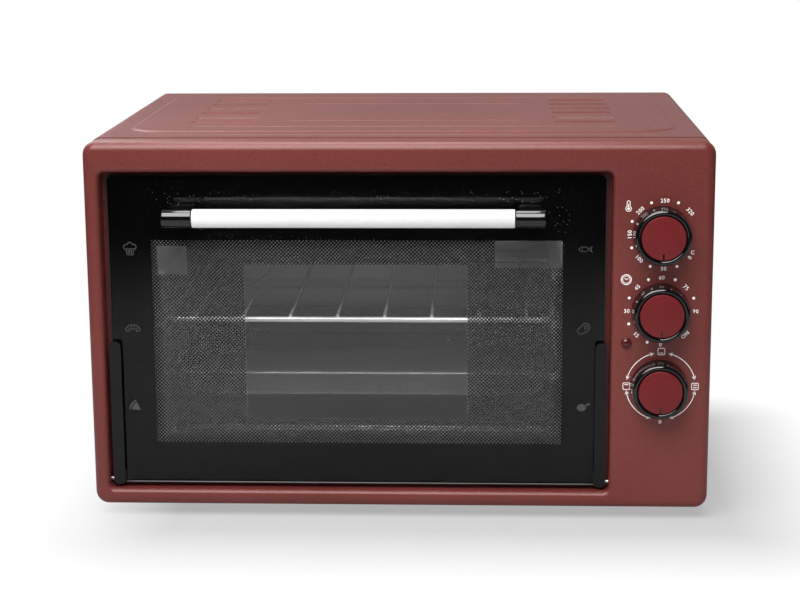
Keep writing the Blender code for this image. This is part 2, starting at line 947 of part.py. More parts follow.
def shelf_profile():
    """Heights up a side wall, with how far each point stands into the cooking space."""
    points = [(0, cavity_bottom - panel_sheet)]
    for i in range(shelf_count):
        top = tray_shelf + i * shelf_pitch
        points.append((0, top - shelf_lip - shelf_slope))
        points.append((shelf_reach, top - shelf_lip))
        points.append((shelf_reach, top))
        points.append((0, top))
    points.append((0, cavity_top + panel_sheet))
    return points


def make_cavity():
    """The five enamelled sheets round the cooking space."""
    front = cavity_front
    back = cavity_back - seat_gap
    for side, name, wall in ((-1, "left", cavity_left), (1, "right", cavity_right)):
        profile = [(wall - side * reach, z) for reach, z in shelf_profile()]
        sections = [[(x, y, z) for x, z in profile] for y in (front, back)]
        sheet = lofted(
            f"cavity_{name}_wall", "grey_steel", sections, panel_sheet, False, Vector((-side, 0, 0))
        )
        cut_element_holes(sheet, wall, name)
    hole = rod(
        "cut_capillary",
        None,
        "X",
        cavity_right - overrun,
        cavity_right + overrun,
        (bulb_start - capillary_bend * capillary_exit_share, bulb_height),
        capillary_hole_radius,
        small_sides,
    )
    combine(bpy.data.objects["cavity_right_wall"], hole, "DIFFERENCE")
    inner = (cavity_left + seat_gap, cavity_right - seat_gap)
    along = (front, back)
    flange = shelf_reach
    low = cavity_bottom - panel_sheet
    high = cavity_top + panel_sheet
    channel("cavity_floor", "grey_steel", inner, along, low, flange, panel_sheet, True)
    channel("cavity_ceiling", "grey_steel", inner, along, high, flange, panel_sheet, False)
    levels = [low]
    for share in back_rib_shares:
        middle = cavity_bottom + share * (cavity_top - cavity_bottom)
        levels.extend(middle + k * back_rib_height / 4 for k in (-2, -1, 1, 2))
    levels.append(high)
    reaches = [0] + [0, back_rib_reach, back_rib_reach, 0] * len(back_rib_shares) + [0]
    out = cavity_width / 2 + panel_sheet
    rib_end = cavity_width / 2 - back_rib_margin
    ends = [(-out, 0), (-rib_end, 0), (-rib_end + back_rib_height / 2, 1)]
    ends += [(-x, share) for x, share in reversed(ends)]
    sections = [
        [(opening_middle + x, cavity_back - share * reach, z) for reach, z in zip(reaches, levels)]
        for x, share in ends
    ]
    lofted("cavity_back_wall", "grey_steel", sections, panel_sheet, False, Vector((0, -1, 0)))


def element_places():
    low = cavity_bottom + element_low
    high = cavity_top - element_high
    front = cavity_front + element_front
    back = cavity_back - element_rear
    return {
        "lower_front": (front, low),
        "lower_back": (back, low),
        "upper_front": (front, high),
        "upper_back": (back, high),
    }


def cut_element_holes(sheet, wall, name):
    for place, centre in element_places().items():
        hole = rod(
            f"cut_{place}_{name}", None, "X", wall - overrun, wall + overrun, centre, bush_radius + seat_gap
        )
        combine(sheet, hole, "DIFFERENCE")


def make_elements():
    """Four sheathed rods across the cooking space, each with a ceramic bush and a terminal at both ends."""
    sheath = element_radius
    for place, (y, z) in element_places().items():
        end = cavity_width / 2 + panel_sheet + seat_gap + bush_flange
        profile = (
            (0, end + terminal_length),
            (terminal_radius, end + terminal_length),
            (terminal_radius, end),
            (sheath, end),
            (sheath, -end),
            (terminal_radius, -end),
            (terminal_radius, -end - terminal_length),
            (0, -end - terminal_length),
        )
        turned(f"element_{place}", "element_steel", profile, "X", (opening_middle, y, z), small_sides)
        for side, name in ((-1, "left"), (1, "right")):
            outside = cavity_width / 2 + panel_sheet + seat_gap
            ring = (
                (sheath + seat_gap, bush_flange),
                (bush_flange_radius, bush_flange),
                (bush_flange_radius, 0),
                (bush_radius, 0),
                (bush_radius, bush_flange - bush_length),
                (sheath + seat_gap, bush_flange - bush_length),
            )
            x = opening_middle + side * outside
            bush = turned(f"bush_{place}_{name}", "ceramic", ring, "X", (x, y, z), small_sides, True)
            if side < 0:
                bush.matrix_basis = bush.matrix_basis @ Matrix.Rotation(math.pi, 4, "X")


def make_glass():
    """The door's single pane, with cut corners, notches for the hinge blocks and two holes for the handle."""
    outline = [
        (glass_left, glass_bottom),
        (glass_right, glass_bottom),
        (glass_right, glass_top - glass_chamfer),
        (glass_right - glass_chamfer, glass_top),
        (glass_left + glass_chamfer, glass_top),
        (glass_left, glass_top - glass_chamfer),
    ]
    glass = plate("door_glass", "glass", "XZ", [outline], glass_front, glass_back)
    for side in (-1, 1):
        edge = mirror_x(glass_left - overrun, side)
        inside = mirror_x(glass_left + notch_width, side)
        notch = box(
            f"cut_notch_{side}",
            None,
            (min(edge, inside), max(edge, inside)),
            (glass_front - overrun, glass_back + overrun),
            (glass_bottom - overrun, glass_bottom + notch_height),
        )
        combine(glass, notch, "DIFFERENCE")
    for side, x in post_places():
        hole = rod(
            f"cut_handle_{side}",
            None,
            "Y",
            glass_front - overrun,
            glass_back + overrun,
            (x, handle_level),
            handle_screw_radius + seat_gap,
            small_sides,
        )
        combine(glass, hole, "DIFFERENCE")
    return glass


def post_places():
    offset = handle_bar_length / 2 + handle_post_width / 2
    return ((-1, opening_middle - offset), (1, opening_middle + offset))


def make_bracket(side, name):
    """A plastic block that holds the pane's side edge and turns on the hinge pin."""
    outer = mirror_x(glass_left - bracket_wrap, side)
    inner = mirror_x(glass_left - bracket_wrap + bracket_width, side)
    low = hinge_z - bracket_drop
    outline = rounded(min(outer, inner), max(outer, inner), low, low + bracket_height, bracket_round)
    bracket = plate(
        f"door_bracket_{name}", "matt_black", "XZ", [outline], glass_front - bracket_front, glass_back + bracket_back
    )
    edge = mirror_x(glass_left - seat_gap, side)
    inside = mirror_x(glass_left + bracket_width, side)
    slot = box(
        f"cut_bracket_{name}",
        None,
        (min(edge, inside), max(edge, inside)),
        (glass_front - seat_gap, glass_back + seat_gap),
        (glass_bottom + notch_height - seat_gap, glass_top),
    )
    combine(bracket, slot, "DIFFERENCE")
    heel_edge = mirror_x(glass_left + notch_width - seat_gap, side)
    heel = box(
        f"cut_heel_{name}",
        None,
        (min(heel_edge, inside), max(heel_edge, inside)),
        (glass_front - seat_gap, glass_back + seat_gap),
        (low - overrun, glass_bottom + notch_height),
    )
    combine(bracket, heel, "DIFFERENCE")
    start = mirror_x(glass_left - bracket_wrap - overrun, side)
    end = mirror_x(glass_left - bracket_wrap + pin_reach + seat_gap, side)
    bore = rod(
        f"cut_bore_{name}",
        None,
        "X",
        min(start, end),
        max(start, end),
        (hinge_y, hinge_z),
        pin_radius + seat_gap,
        small_sides,
    )
    combine(bracket, bore, "DIFFERENCE")
    return bracket


def make_pin(side, name):
    """The hinge pin: its head is behind the opening's side wall, and its end is in the bracket."""
    wall = opening_left - frame_sheet - seat_gap
    tip = glass_left - bracket_wrap + pin_reach - wall
    profile = (
        (0, tip),
        (pin_radius * pin_tip_share, tip),
        (pin_radius, tip - pin_radius * (1 - pin_tip_share)),
        (pin_radius, 0),
        (pin_head_radius, 0),
        (pin_head_radius, -pin_head),
        (0, -pin_head),
    )
    pin = turned(f"hinge_pin_{name}", "zinc", profile, "X", (mirror_x(wall, side), hinge_y, hinge_z), small_sides)
    if side > 0:
        pin.matrix_basis = pin.matrix_basis @ Matrix.Rotation(math.pi, 4, "X")


def stay_point(radius, angle):
    """A point round the hinge axis: angle zero is straight up, and it grows towards the back."""
    return (hinge_y + radius * math.sin(angle), hinge_z + radius * math.cos(angle))


def make_stay(side, name):
    """The door's check strap: an arc round the hinge axis that slides through a slot in the door seat."""
    inner = stay_radius - stay_width / 2
    outer = stay_radius + stay_width / 2
    strap_front = glass_back + bracket_back + seat_gap
    start = math.asin((strap_front + stay_foot_thickness * stay_bite_share - hinge_y) / stay_radius)
    slack = math.asin((stay_flange_reach() + stay_clearance) / (inner - stay_ear))
    stop = door_limit + slack
    end = stop + stay_ear_angle

    def arc(radius, first, last):
        steps = max(small_steps, round(arc_steps * abs(last - first) / end))
        return [stay_point(radius, first + (last - first) * k / steps) for k in range(steps + 1)]

    outline = arc(outer, start, stop)
    outline += arc(outer + stay_ear, stop, end)
    outline += arc(inner - stay_ear, end, stop)
    outline += arc(inner, stop, start)
    x = stay_middle(side)
    strap = plate(
        f"door_stay_{name}", "zinc", "YZ", [outline], x - stay_thickness / 2, x + stay_thickness / 2
    )
    foot = box(
        f"stay_foot_{name}",
        None,
        (x - stay_foot_width / 2, x + stay_foot_width / 2),
        (strap_front, strap_front + stay_foot_thickness),
        (hinge_z + stay_radius - stay_foot_height / 2, hinge_z + stay_radius + stay_foot_height / 2),
    )
    combine(strap, foot, "UNION")
    return strap


def make_handle():
    """The bar between its two posts, and the screws that hold the posts through the glass."""
    half = handle_bar_length / 2
    bar = rod(
        "handle_bar",
        "white_lacquer",
        "X",
        opening_middle - half,
        opening_middle + half,
        (handle_y, handle_level),
        handle_radius,
    )
    pieces = [bar]
    for side, x in post_places():
        name = "left" if side < 0 else "right"
        post = make_post(side, name, x)
        socket = opening_middle + side * half
        hollow = rod(
            f"cut_spigot_{name}",
            None,
            "X",
            socket - post_joint - seat_gap,
            socket + post_joint + seat_gap,
            (handle_y, handle_level),
            handle_radius * spigot_share + seat_gap,
            small_sides,
        )
        combine(bar, hollow, "DIFFERENCE")
        pieces += [post, make_handle_screw(name, x)]
    return pieces


def make_post(side, name, x):
    """An elbow of one piece: a stub in line with the bar, and a stem back to the glass."""
    gap = seat_gap * side
    near = opening_middle + side * handle_bar_length / 2 + gap
    far = opening_middle + side * (handle_bar_length / 2 + handle_post_width)
    post = bevelled(
        rod(
            f"handle_post_{name}",
            "black_plastic",
            "X",
            min(near, far),
            max(near, far),
            (handle_y, handle_level),
            handle_radius,
        ),
        post_end_edge,
    )
    stem = box(
        f"post_stem_{name}",
        None,
        (x - handle_post_width / 2 + post_edge, x + handle_post_width / 2 - post_edge),
        (handle_y, glass_front - seat_gap),
        (handle_level - post_stem_height / 2, handle_level + post_stem_height / 2),
    )
    bevelled(stem, post_edge)
    foot = box(
        f"post_foot_{name}",
        None,
        (x - handle_post_width / 2 + post_edge, x + handle_post_width / 2 - post_edge),
        (glass_front - seat_gap - post_foot, glass_front - seat_gap),
        (handle_level - post_stem_height / 2, handle_level + post_stem_height / 2),
    )
    spigot = rod(
        f"post_spigot_{name}",
        None,
        "X",
        min(near - side * post_joint, near + side * post_joint),
        max(near - side * post_joint, near + side * post_joint),
        (handle_y, handle_level),
        handle_radius * spigot_share,
        small_sides,
    )
    bore = rod(
        f"post_bore_{name}",
        None,
        "Y",
        glass_front - handle_screw_grip - seat_gap,
        glass_front + overrun,
        (x, handle_level),
        handle_screw_radius + seat_gap,
        small_sides,
    )
    combine(post, stem, "UNION")
    combine(post, foot, "UNION")
    combine(post, spigot, "UNION")
    combine(post, bore, "DIFFERENCE")
    return post


def make_handle_screw(name, x):
    length = glass_thickness + handle_screw_grip
    profile = screw_profile(handle_screw_radius, handle_screw_head_radius, handle_screw_head, length)
    place = (x, glass_back + seat_gap, handle_level)
    turn = Matrix.Rotation(-math.pi / 2, 4, "X")
    screw = turned(f"handle_screw_{name}", "zinc", profile, "Z", place, small_sides)
    screw.matrix_basis = Matrix.Translation(place) @ turn
    cross_slot(screw, place, turn, handle_screw_head)
    return screw


def make_door():
    """Everything that turns with the door. Each piece keeps its origin on the hinge axis."""
    pieces = [make_glass()]
    for side, name in ((-1, "left"), (1, "right")):
        pieces.append(make_bracket(side, name))
        pieces.append(make_stay(side, name))
        make_pin(side, name)
    pieces += make_handle()
    hinge = bpy.data.objects.new("door_hinge_axis", None)
    parts.objects.link(hinge)
    hinge.parent = oven
    hinge.location = (opening_middle, hinge_y, hinge_z)
    shift = Matrix.Translation(-hinge.location)
    for piece in pieces:
        local = piece.matrix_basis.copy()
        piece.parent = hinge
        piece.matrix_basis = shift @ local


def make_rack():
    """A wire shelf: a round-cornered rail with rods welded across it from front to back."""
    left = cavity_left + rack_side_gap + rail_radius
    right = cavity_right - rack_side_gap - rail_radius
    z = rack_shelf + seat_gap + rail_radius
    loop = [(x, y, z) for x, y in rounded(left, right, rack_front, rack_back, rack_corner)]
    rack = tube("wire_rack", "chrome", loop, rail_radius, True)
    rod_z = z + rail_radius + rod_radius - rod_overlap
    rod_pitch = (right - left - 2 * rod_inset) / (rod_count - 1)
    for i in range(rod_count):
        wire = rod(
            f"rack_rod_{i}",
            None,
            "Y",
            rack_front - rail_radius / 2,
            rack_back + rail_radius / 2,
            (left + rod_inset + i * rod_pitch, rod_z),
            rod_radius,
            wire_sides,
        )
        combine(rack, wire, "UNION")
    set_origin(rack, (opening_middle, rack_front, z))


def make_tray():
    """A pressed baking tray: a flat rim on the shelves, sloping walls and a flat floor."""
    left = cavity_left + rack_side_gap
    right = cavity_right - rack_side_gap
    top = tray_shelf + seat_gap + tray_sheet
    sections = []
    steps = (
        (0, 0),
        (tray_rim, 0),
        (tray_rim + tray_bend_taper, tray_depth * tray_bend_share),
        (tray_rim + tray_floor_inset, tray_depth),
    )
    for inset, drop in steps:
        outline = rounded(left + inset, right - inset, tray_front + inset, tray_back - inset, tray_corner)
        sections.append([(x, y, top - drop) for x, y in outline])
    bm = bmesh.new()
    rows = [[bm.verts.new(point) for point in section] for section in sections]
    for first, second in zip(rows, rows[1:]):
        for i in range(len(first)):
            j = (i + 1) % len(first)
            bm.faces.new((first[i], first[j], second[j], second[i]))
    bm.faces.new(rows[-1])
    bmesh.ops.recalc_face_normals(bm, faces=bm.faces)
    bm.normal_update()
    if bm.faces[-1].normal.z < 0:
        bmesh.ops.reverse_faces(bm, faces=bm.faces)
    mesh = bpy.data.meshes.new("baking_tray")
    bm.to_mesh(mesh)
    bm.free()
    tray = smooth(add("baking_tray", mesh, "black_enamel"))
    solid = tray.modifiers.new("sheet", "SOLIDIFY")
    solid.thickness = tray_sheet
    solid.offset = -1
    solid.use_even_offset = True
    set_origin(tray, (opening_middle, tray_front, top))


def knob_profile():
    """From the front edge down the outside, and back up the hollow inside, round the boss."""
    front = knob_height
    back = knob_clearance
    web = front - knob_seat_depth - knob_wall
    boss = back + knob_boss_recess
    hole = shaft_radius + seat_gap
    return (
        (0, front - knob_seat_depth),
        (cap_radius + seat_gap, front - knob_seat_depth),
        (cap_radius + seat_gap, front),
        (knob_front_radius - knob_edge, front),
        (knob_front_radius, front - knob_edge),
        (knob_radius, back + knob_edge),
        (knob_radius, back),
        (knob_radius - knob_wall, back),
        (knob_front_radius - knob_wall, web),
        (knob_boss_radius, web),
        (knob_boss_radius, boss),
        (hole, boss),
        (hole, boss + shaft_engage),
        (0, boss + shaft_engage),
    )


def make_controls():
    """Three knobs with caps and shafts, and the thermostat, timer and selector behind them."""
    names = ("thermostat", "timer", "selector")
    for name, level, depth in zip(names, knob_levels, control_depths):
        place = (knob_column, 0, level)
        turned(f"{name}_knob", "black_plastic", knob_profile(), "Y", place, knob_sides)
        front = knob_height - knob_seat_depth + seat_gap + cap_thickness
        cap_profile = (
            (0, front),
            (cap_radius - cap_edge, front),
            (cap_radius, front - cap_edge),
            (cap_radius, front - cap_thickness),
            (0, front - cap_thickness),
        )
        cap = turned(f"{name}_cap", "red_cap", cap_profile, "Y", place, knob_sides)
        pointer = box(
            f"cut_pointer_{name}",
            None,
            (knob_column - pointer_width / 2, knob_column + pointer_width / 2),
            (-front - overrun, -front + pointer_depth),
            (level - cap_radius - overrun, level - cap_radius + notch_length),
        )
        combine(cap, pointer, "DIFFERENCE")
        make_shaft(f"{name}_shaft", place)
        make_control_body(name, level, depth)


def make_shaft(name, place):
    """The control's spindle, with a flat on it, from just inside the body to the end of the knob's bore."""
    tip = knob_clearance + knob_boss_recess + shaft_engage - seat_gap
    heel = frame_sheet + seat_gap + control_edge
    shaft = rod(name, "zinc", "Y", -tip, heel, (place[0], place[2]), shaft_radius, small_sides)
    flat = box(
        f"cut_{name}",
        None,
        (place[0] - shaft_radius - overrun, place[0] + shaft_radius + overrun),
        (-tip - overrun, -knob_clearance - knob_boss_recess),
        (place[2] + shaft_radius - shaft_flat, place[2] + shaft_radius + overrun),
    )
    combine(shaft, flat, "DIFFERENCE")
    set_origin(shaft, place)


def make_control_body(name, level, depth):
    """A control's housing behind the frame, with its connector blades at the back."""
    front = frame_sheet + seat_gap
    x = knob_column
    body = box(
        f"{name}_body",
        "switch_plastic",
        (x - control_width / 2, x + control_width / 2),
        (front, front + depth),
        (level - control_height / 2, level + control_height / 2),
    )
    bevelled(body, control_edge)
    well = rod(
        f"cut_{name}_well",
        None,
        "Y",
        front - overrun,
        front + control_edge + seat_gap,
        (x, level),
        shaft_radius + seat_gap,
        small_sides,
    )
    for i, sign in enumerate((-1, 1)):
        middle = x + sign * blade_apart / 2
        blade = box(
            f"{name}_blade_{i}",
            None,
            (middle - blade_thickness / 2, middle + blade_thickness / 2),
            (front + depth - overrun, front + depth + blade_length),
            (level - control_height / 4 - blade_width / 2, level - control_height / 4 + blade_width / 2),
        )
        combine(body, blade, "UNION")
    combine(body, well, "DIFFERENCE")


def make_lamp():
    """The pilot lamp: a domed lens with a flange on the face, and its body through the frame."""
    x, z = lamp_place()
    base = seat_gap + lamp_flange
    dome = [(lamp_radius * across, base + lamp_dome * up) for across, up in lamp_dome_shares]
    profile = (
        (0, base + lamp_dome),
        *dome,
        (lamp_radius, base),
        (lamp_flange_radius, base),
        (lamp_flange_radius, seat_gap),
        (lamp_radius, seat_gap),
        (lamp_radius, -lamp_length),
        (0, -lamp_length),
    )
    turned("pilot_lamp", "red_lens", profile, "Y", (x, 0, z), small_sides)


def make_bulb():
    """The thermostat's sensing bulb along the right wall, with its capillary out to the control."""
    z = bulb_height
    x = cavity_right - seat_gap - bulb_radius
    bulb = rod(
        "thermostat_bulb", "copper", "Y", bulb_start, bulb_start + bulb_length, (x, z), bulb_radius, small_sides
    )
    body_back = frame_sheet + seat_gap + control_depths[0]
    bend = capillary_bend
    route = [(x + bend * across, bulb_start + bend * along, z) for across, along in capillary_out_shares]
    route += [(knob_column + bend * across, bulb_start + bend * along, z) for across, along in capillary_in_shares]
    route.append((knob_column, bulb_start - bend * capillary_drop_share, knob_levels[0]))
    route.append((knob_column, body_back + seat_gap, knob_levels[0]))
    pipe = tube("capillary", None, route, capillary_radius)
    combine(bulb, pipe, "UNION")


def make_terminal_block():
    """The mains terminal block, on the base beside the cord inlet."""
    x = half_case - gland_side
    low = base_bottom + panel_sheet + seat_gap
    front = case_depth - block_rear
    block = box(
        "terminal_block",
        "switch_plastic",
        (x - block_width / 2, x + block_width / 2),
        (front, front + block_depth),
        (low, low + block_height),
    )
    bevelled(block, block_edge, 1)
    for i in range(block_screws):
        y = front + block_depth * (2 * i + 1) / (2 * block_screws)
        well = rod(
            f"cut_block_{i}",
            None,
            "Z",
            low + block_height / 2,
            low + block_height + overrun,
            (x, y),
            block_screw_radius,
            small_sides,
        )
        combine(block, well, "DIFFERENCE")


make_front_frame()
make_outer_wrapper()
make_base()
make_back()
make_cavity()
make_elements()
make_door()
make_rack()
make_tray()
make_controls()
make_lamp()
make_bulb()
make_terminal_block()
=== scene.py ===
"""The looks of the mini oven: finishes, fine sheet metal, printed door glass, dial marks and a plain studio.

Lengths are in metres. Places come from the frame: x runs to the right, y from the front to the back, z up.
"""

import math

import bmesh
import bpy
from mathutils import Matrix, Vector


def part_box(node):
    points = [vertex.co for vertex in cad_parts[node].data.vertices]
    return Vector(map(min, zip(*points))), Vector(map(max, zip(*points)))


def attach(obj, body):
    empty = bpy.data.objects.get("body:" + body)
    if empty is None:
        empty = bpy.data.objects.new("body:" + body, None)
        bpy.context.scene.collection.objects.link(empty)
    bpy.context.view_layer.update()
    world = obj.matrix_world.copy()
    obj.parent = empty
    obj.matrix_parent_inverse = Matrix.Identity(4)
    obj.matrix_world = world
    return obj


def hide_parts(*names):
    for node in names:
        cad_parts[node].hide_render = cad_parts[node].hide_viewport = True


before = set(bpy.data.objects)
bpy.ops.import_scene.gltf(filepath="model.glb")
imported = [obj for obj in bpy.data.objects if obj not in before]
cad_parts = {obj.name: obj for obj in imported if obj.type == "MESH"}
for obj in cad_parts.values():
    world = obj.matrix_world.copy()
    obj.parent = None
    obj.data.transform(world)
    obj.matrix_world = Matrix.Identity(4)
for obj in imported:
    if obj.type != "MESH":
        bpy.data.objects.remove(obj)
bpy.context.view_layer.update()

# Facets
round_steps = 8
roll_steps = 8
turned_sides = 64
wire_sides = 16

# Front frame
frame_sheet = 0.0010
frame_corner = 0.011
frame_roll = 0.0078
crease_depth = 0.0009
crease_width = 0.0012
opening_corner = 0.005
opening_roll = 0.0045
opening_depth = 0.0185
mouth_corner = 0.004
panel_sheet = 0.0008
seat_gap = 0.0003

# Outer wrapper
wrapper_inset = 0.0014
wrapper_corner = 0.0088
wrapper_step = 0.0016
wrapper_groove = 0.0022
wrapper_joggle = 0.0003
wrapper_tongue = 0.010
wrapper_back_roll = 0.004
wrapper_back_lip = 0.014
platform_side = 0.0235
platform_front = 0.0660
platform_back = 0.036
platform_corner = 0.030
platform_rise = 0.0011
platform_slope = 0.0030
line_width = 0.0042
line_depth = 0.0017
line_table = (
    (0.2154, 0.0500),
    (0.1835, 0.0985),
    (0.1035, 0.1420),
    (0.1035, 0.2750),
    (0.1835, 0.3260),
)
louvre_length = 0.0565
louvre_width = 0.0046
louvre_depth = 0.0026
louvre_middle = 0.160
louvre_first = 0.1250
louvre_pitch = 0.0345
louvre_count = 6

# Door glass, seen from the front: x and z of its printed fields
glass_chamfer = 0.0033
notch_width = 0.0075
notch_height = 0.0105
print_gap = 0.0003
print_margin = 0.0007
screen_x = (-0.2065, 0.1366)
screen_z = (0.0625, 0.2377)
window_x = (-0.1290, 0.0579)
window_z = (0.0842, 0.2168)
left_label_x = (-0.2015, -0.1770)
left_label_z = (0.2090, 0.2328)
right_label_x = (0.0805, 0.1361)
right_label_z = (0.2147, 0.2374)
dot_pitch = 0.0031
dot_fade = 0.004
left_icons_x = -0.2245
right_icons_x = 0.1550
icon_levels = (0.2305, 0.1630, 0.0955)
icon_size = 0.0115
# A faint pale veil over the clear fields of the print: painted light that lightens the view through them.
painted_veil_cover = 0.045

# Handle
handle_radius = 0.0077
post_end_edge = 0.0014
stem_half_height = 0.0066

# Knobs
controls = ("thermostat", "timer", "selector")
cap_radius = 0.0180
knob_recess = 0.0022
mark_circle = 0.0283
mark_proud = 0.00005
dial_shifts = {"thermostat": (0.0018, 0.0), "timer": (0.0006, 0.0005), "selector": (0.0015, 0.0009)}
digit_height = 0.0032

# Rack and tray
rail_radius = 0.0025
rod_radius = 0.0015
rod_count = 8
rod_inset = 0.0262
rod_lean = 0.0022
rack_corner = 0.013
tray_sheet = 0.0010
tray_corner = 0.016
tray_rim = 0.009
tray_depth = 0.024

# Camera, solved from the photograph
camera_place = Vector((0.0749, -1.7434, 0.5252))
camera_yaw = 0.0468
camera_pitch = 0.2119
camera_roll = -0.0070
camera_lens = 86.535

# Studio
shadow_middle = (0.045, -0.05)
shadow_reach = (0.235, 0.17)
floor_fade = (0.0, 0.11, 0.42)
# Distances over which the floor's painted reflection fades to near black.
painted_reflection_fade = (0.65, 1.25)
floor_tone = 0.72
# Painted shadow: the tone the camera sees the floor in near the oven, darker than the floor's own tone.
painted_shadow_floor_tone = 0.36
# Painted reflection: the floor's tone as reflections see it near the oven, darker than its own tone.
painted_reflection_floor_tone = 0.30
room_front = 0.02
room_back = 0.36

scene = bpy.context.scene
case_low, case_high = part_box("front_frame")
face_y = case_low.y
flange_back = case_high.y
half_case = case_high.x
foot_height = case_low.z
case_top = case_high.z
case_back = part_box("outer_wrapper")[1].y
glass_low, glass_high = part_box("door_glass")
opening_left = glass_low.x - 0.0045
opening_right = glass_high.x + 0.0045
opening_bottom = glass_low.z - 0.0035
opening_top = glass_high.z + 0.0027
mouth_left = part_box("cavity_left_wall")[0].x + panel_sheet
mouth_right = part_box("cavity_right_wall")[1].x - panel_sheet
mouth_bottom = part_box("cavity_floor")[0].z + panel_sheet
mouth_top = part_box("cavity_ceiling")[1].z - panel_sheet


def low(node):
    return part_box(node)[0]


def high(node):
    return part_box(node)[1]


def centre(node):
    return (low(node) + high(node)) / 2


# Shader node helpers


class Nodes:
    """A short way to place and join the nodes of one material or group."""

    def __init__(self, tree):
        self.tree = tree

    def add(self, kind, **settings):
        node = self.tree.nodes.new(kind)
        for key, value in settings.items():
            setattr(node, key, value)
        return node

    def join(self, source, target):
        self.tree.links.new(source, target)

    def feed(self, socket, value):
        if isinstance(value, bpy.types.NodeSocket):
            self.join(value, socket)
        else:
            socket.default_value = value

    def math(self, operation, first, second=0.0, clamp=False):
        node = self.add("ShaderNodeMath", operation=operation, use_clamp=clamp)
        self.feed(node.inputs[0], first)
        self.feed(node.inputs[1], second)
        return node.outputs[0]

    def ramp(self, value, low_in, high_in, low_out=0.0, high_out=1.0):
        node = self.add("ShaderNodeMapRange")
        for index, item in enumerate((value, low_in, high_in, low_out, high_out)):
            self.feed(node.inputs[index], item)
        return node.outputs[0]

    def mix(self, share, first, second):
        node = self.add("ShaderNodeMix", data_type="RGBA")
        self.feed(node.inputs["Factor"], share)
        self.feed(node.inputs[6], first)
        self.feed(node.inputs[7], second)
        return node.outputs[2]

    def noise(self, vector, scale, detail=2.0):
        node = self.add("ShaderNodeTexNoise")
        self.join(vector, node.inputs["Vector"])
        node.inputs["Scale"].default_value = scale
        node.inputs["Detail"].default_value = detail
        return node.outputs["Fac"]

    def band(self, value, edges, soft=0.00015):
        """One inside the two edges and zero outside them."""
        rise = self.ramp(value, edges[0] - soft, edges[0] + soft)
        fall = self.ramp(value, edges[1] - soft, edges[1] + soft, 1.0, 0.0)
        return self.math("MULTIPLY", rise, fall)


def group(name, inputs, outputs):
    """An empty node group with named sockets: its helper, its input sockets and a way to set its outputs."""
    tree = bpy.data.node_groups.new(name, "ShaderNodeTree")
    for label, kind, value in inputs:
        socket = tree.interface.new_socket(label, in_out="INPUT", socket_type=kind)
        if value is not None:
            socket.default_value = value
    for label, kind in outputs:
        tree.interface.new_socket(label, in_out="OUTPUT", socket_type=kind)
    nodes = Nodes(tree)
    return nodes, nodes.add("NodeGroupInput").outputs, nodes.add("NodeGroupOutput").inputs


FLOAT = "NodeSocketFloat"
VECTOR = "NodeSocketVector"


def surface_grain():
    """Fine grain, broad clouding and sparse flecks, for painted, moulded and rolled surfaces."""
    nodes, inputs, outputs = group(
        "surface_grain",
        (("Vector", VECTOR, None), ("Grain Scale", FLOAT, 1500.0), ("Cloud Scale", FLOAT, 14.0)),
        (("Grain", FLOAT), ("Cloud", FLOAT), ("Fleck", FLOAT)),
    )
    grain = nodes.add("ShaderNodeTexNoise")
    nodes.join(inputs["Vector"], grain.inputs["Vector"])
    nodes.join(inputs["Grain Scale"], grain.inputs["Scale"])
    grain.inputs["Detail"].default_value = 3.0
    cloud = nodes.add("ShaderNodeTexNoise")
    nodes.join(inputs["Vector"], cloud.inputs["Vector"])
    nodes.join(inputs["Cloud Scale"], cloud.inputs["Scale"])
    cloud.inputs["Detail"].default_value = 4.0
    fleck = nodes.add("ShaderNodeTexVoronoi", feature="F1")
    nodes.join(inputs["Vector"], fleck.inputs["Vector"])
    nodes.join(inputs["Grain Scale"], fleck.inputs["Scale"])
    nodes.join(nodes.ramp(grain.outputs["Fac"], 0.3, 0.7), outputs["Grain"])
    nodes.join(nodes.ramp(cloud.outputs["Fac"], 0.3, 0.7), outputs["Cloud"])
    nodes.join(nodes.ramp(fleck.outputs["Distance"], 0.12, 0.30, 1.0, 0.0), outputs["Fleck"])
    return nodes.tree


def rolled_streaks():
    """Long faint streaks of rolled or brushed sheet along one axis."""
    nodes, inputs, outputs = group(
        "rolled_streaks",
        (("Vector", VECTOR, None), ("Stretch", VECTOR, (4.0, 300.0, 300.0))),
        (("Streak", FLOAT),),
    )
    scaled = nodes.add("ShaderNodeVectorMath", operation="MULTIPLY")
    nodes.join(inputs["Vector"], scaled.inputs[0])
    nodes.join(inputs["Stretch"], scaled.inputs[1])
    streak = nodes.noise(scaled.outputs[0], 1.0, 3.0)
    nodes.join(nodes.ramp(streak, 0.3, 0.7), outputs["Streak"])
    return nodes.tree


GROUPS = {"surface_grain": surface_grain(), "rolled_streaks": rolled_streaks()}


def place_group(nodes, name, **values):
    node = nodes.add("ShaderNodeGroup", node_tree=GROUPS[name])
    for label, value in values.items():
        nodes.feed(node.inputs[label.replace("_", " ")], value)
    return node


def new_material(name):
    """A material with its shader, and coordinates that stay with the piece."""
    made = bpy.data.materials.new(name)
    made.use_nodes = True
    nodes = Nodes(made.node_tree)
    shader = made.node_tree.nodes["Principled BSDF"]
    place = nodes.add("ShaderNodeTexCoord").outputs["Object"]
    return made, nodes, shader, place


def bump(nodes, shader, height, strength, distance=0.0002):
    node = nodes.add("ShaderNodeBump")
    node.inputs["Strength"].default_value = strength
    node.inputs["Distance"].default_value = distance
    nodes.join(height, node.inputs["Height"])
    nodes.join(node.outputs["Normal"], shader.inputs["Normal"])


def rgba(colour):
    return (*colour, 1.0)


def grey(level):
    return (level, level, level, 1.0)


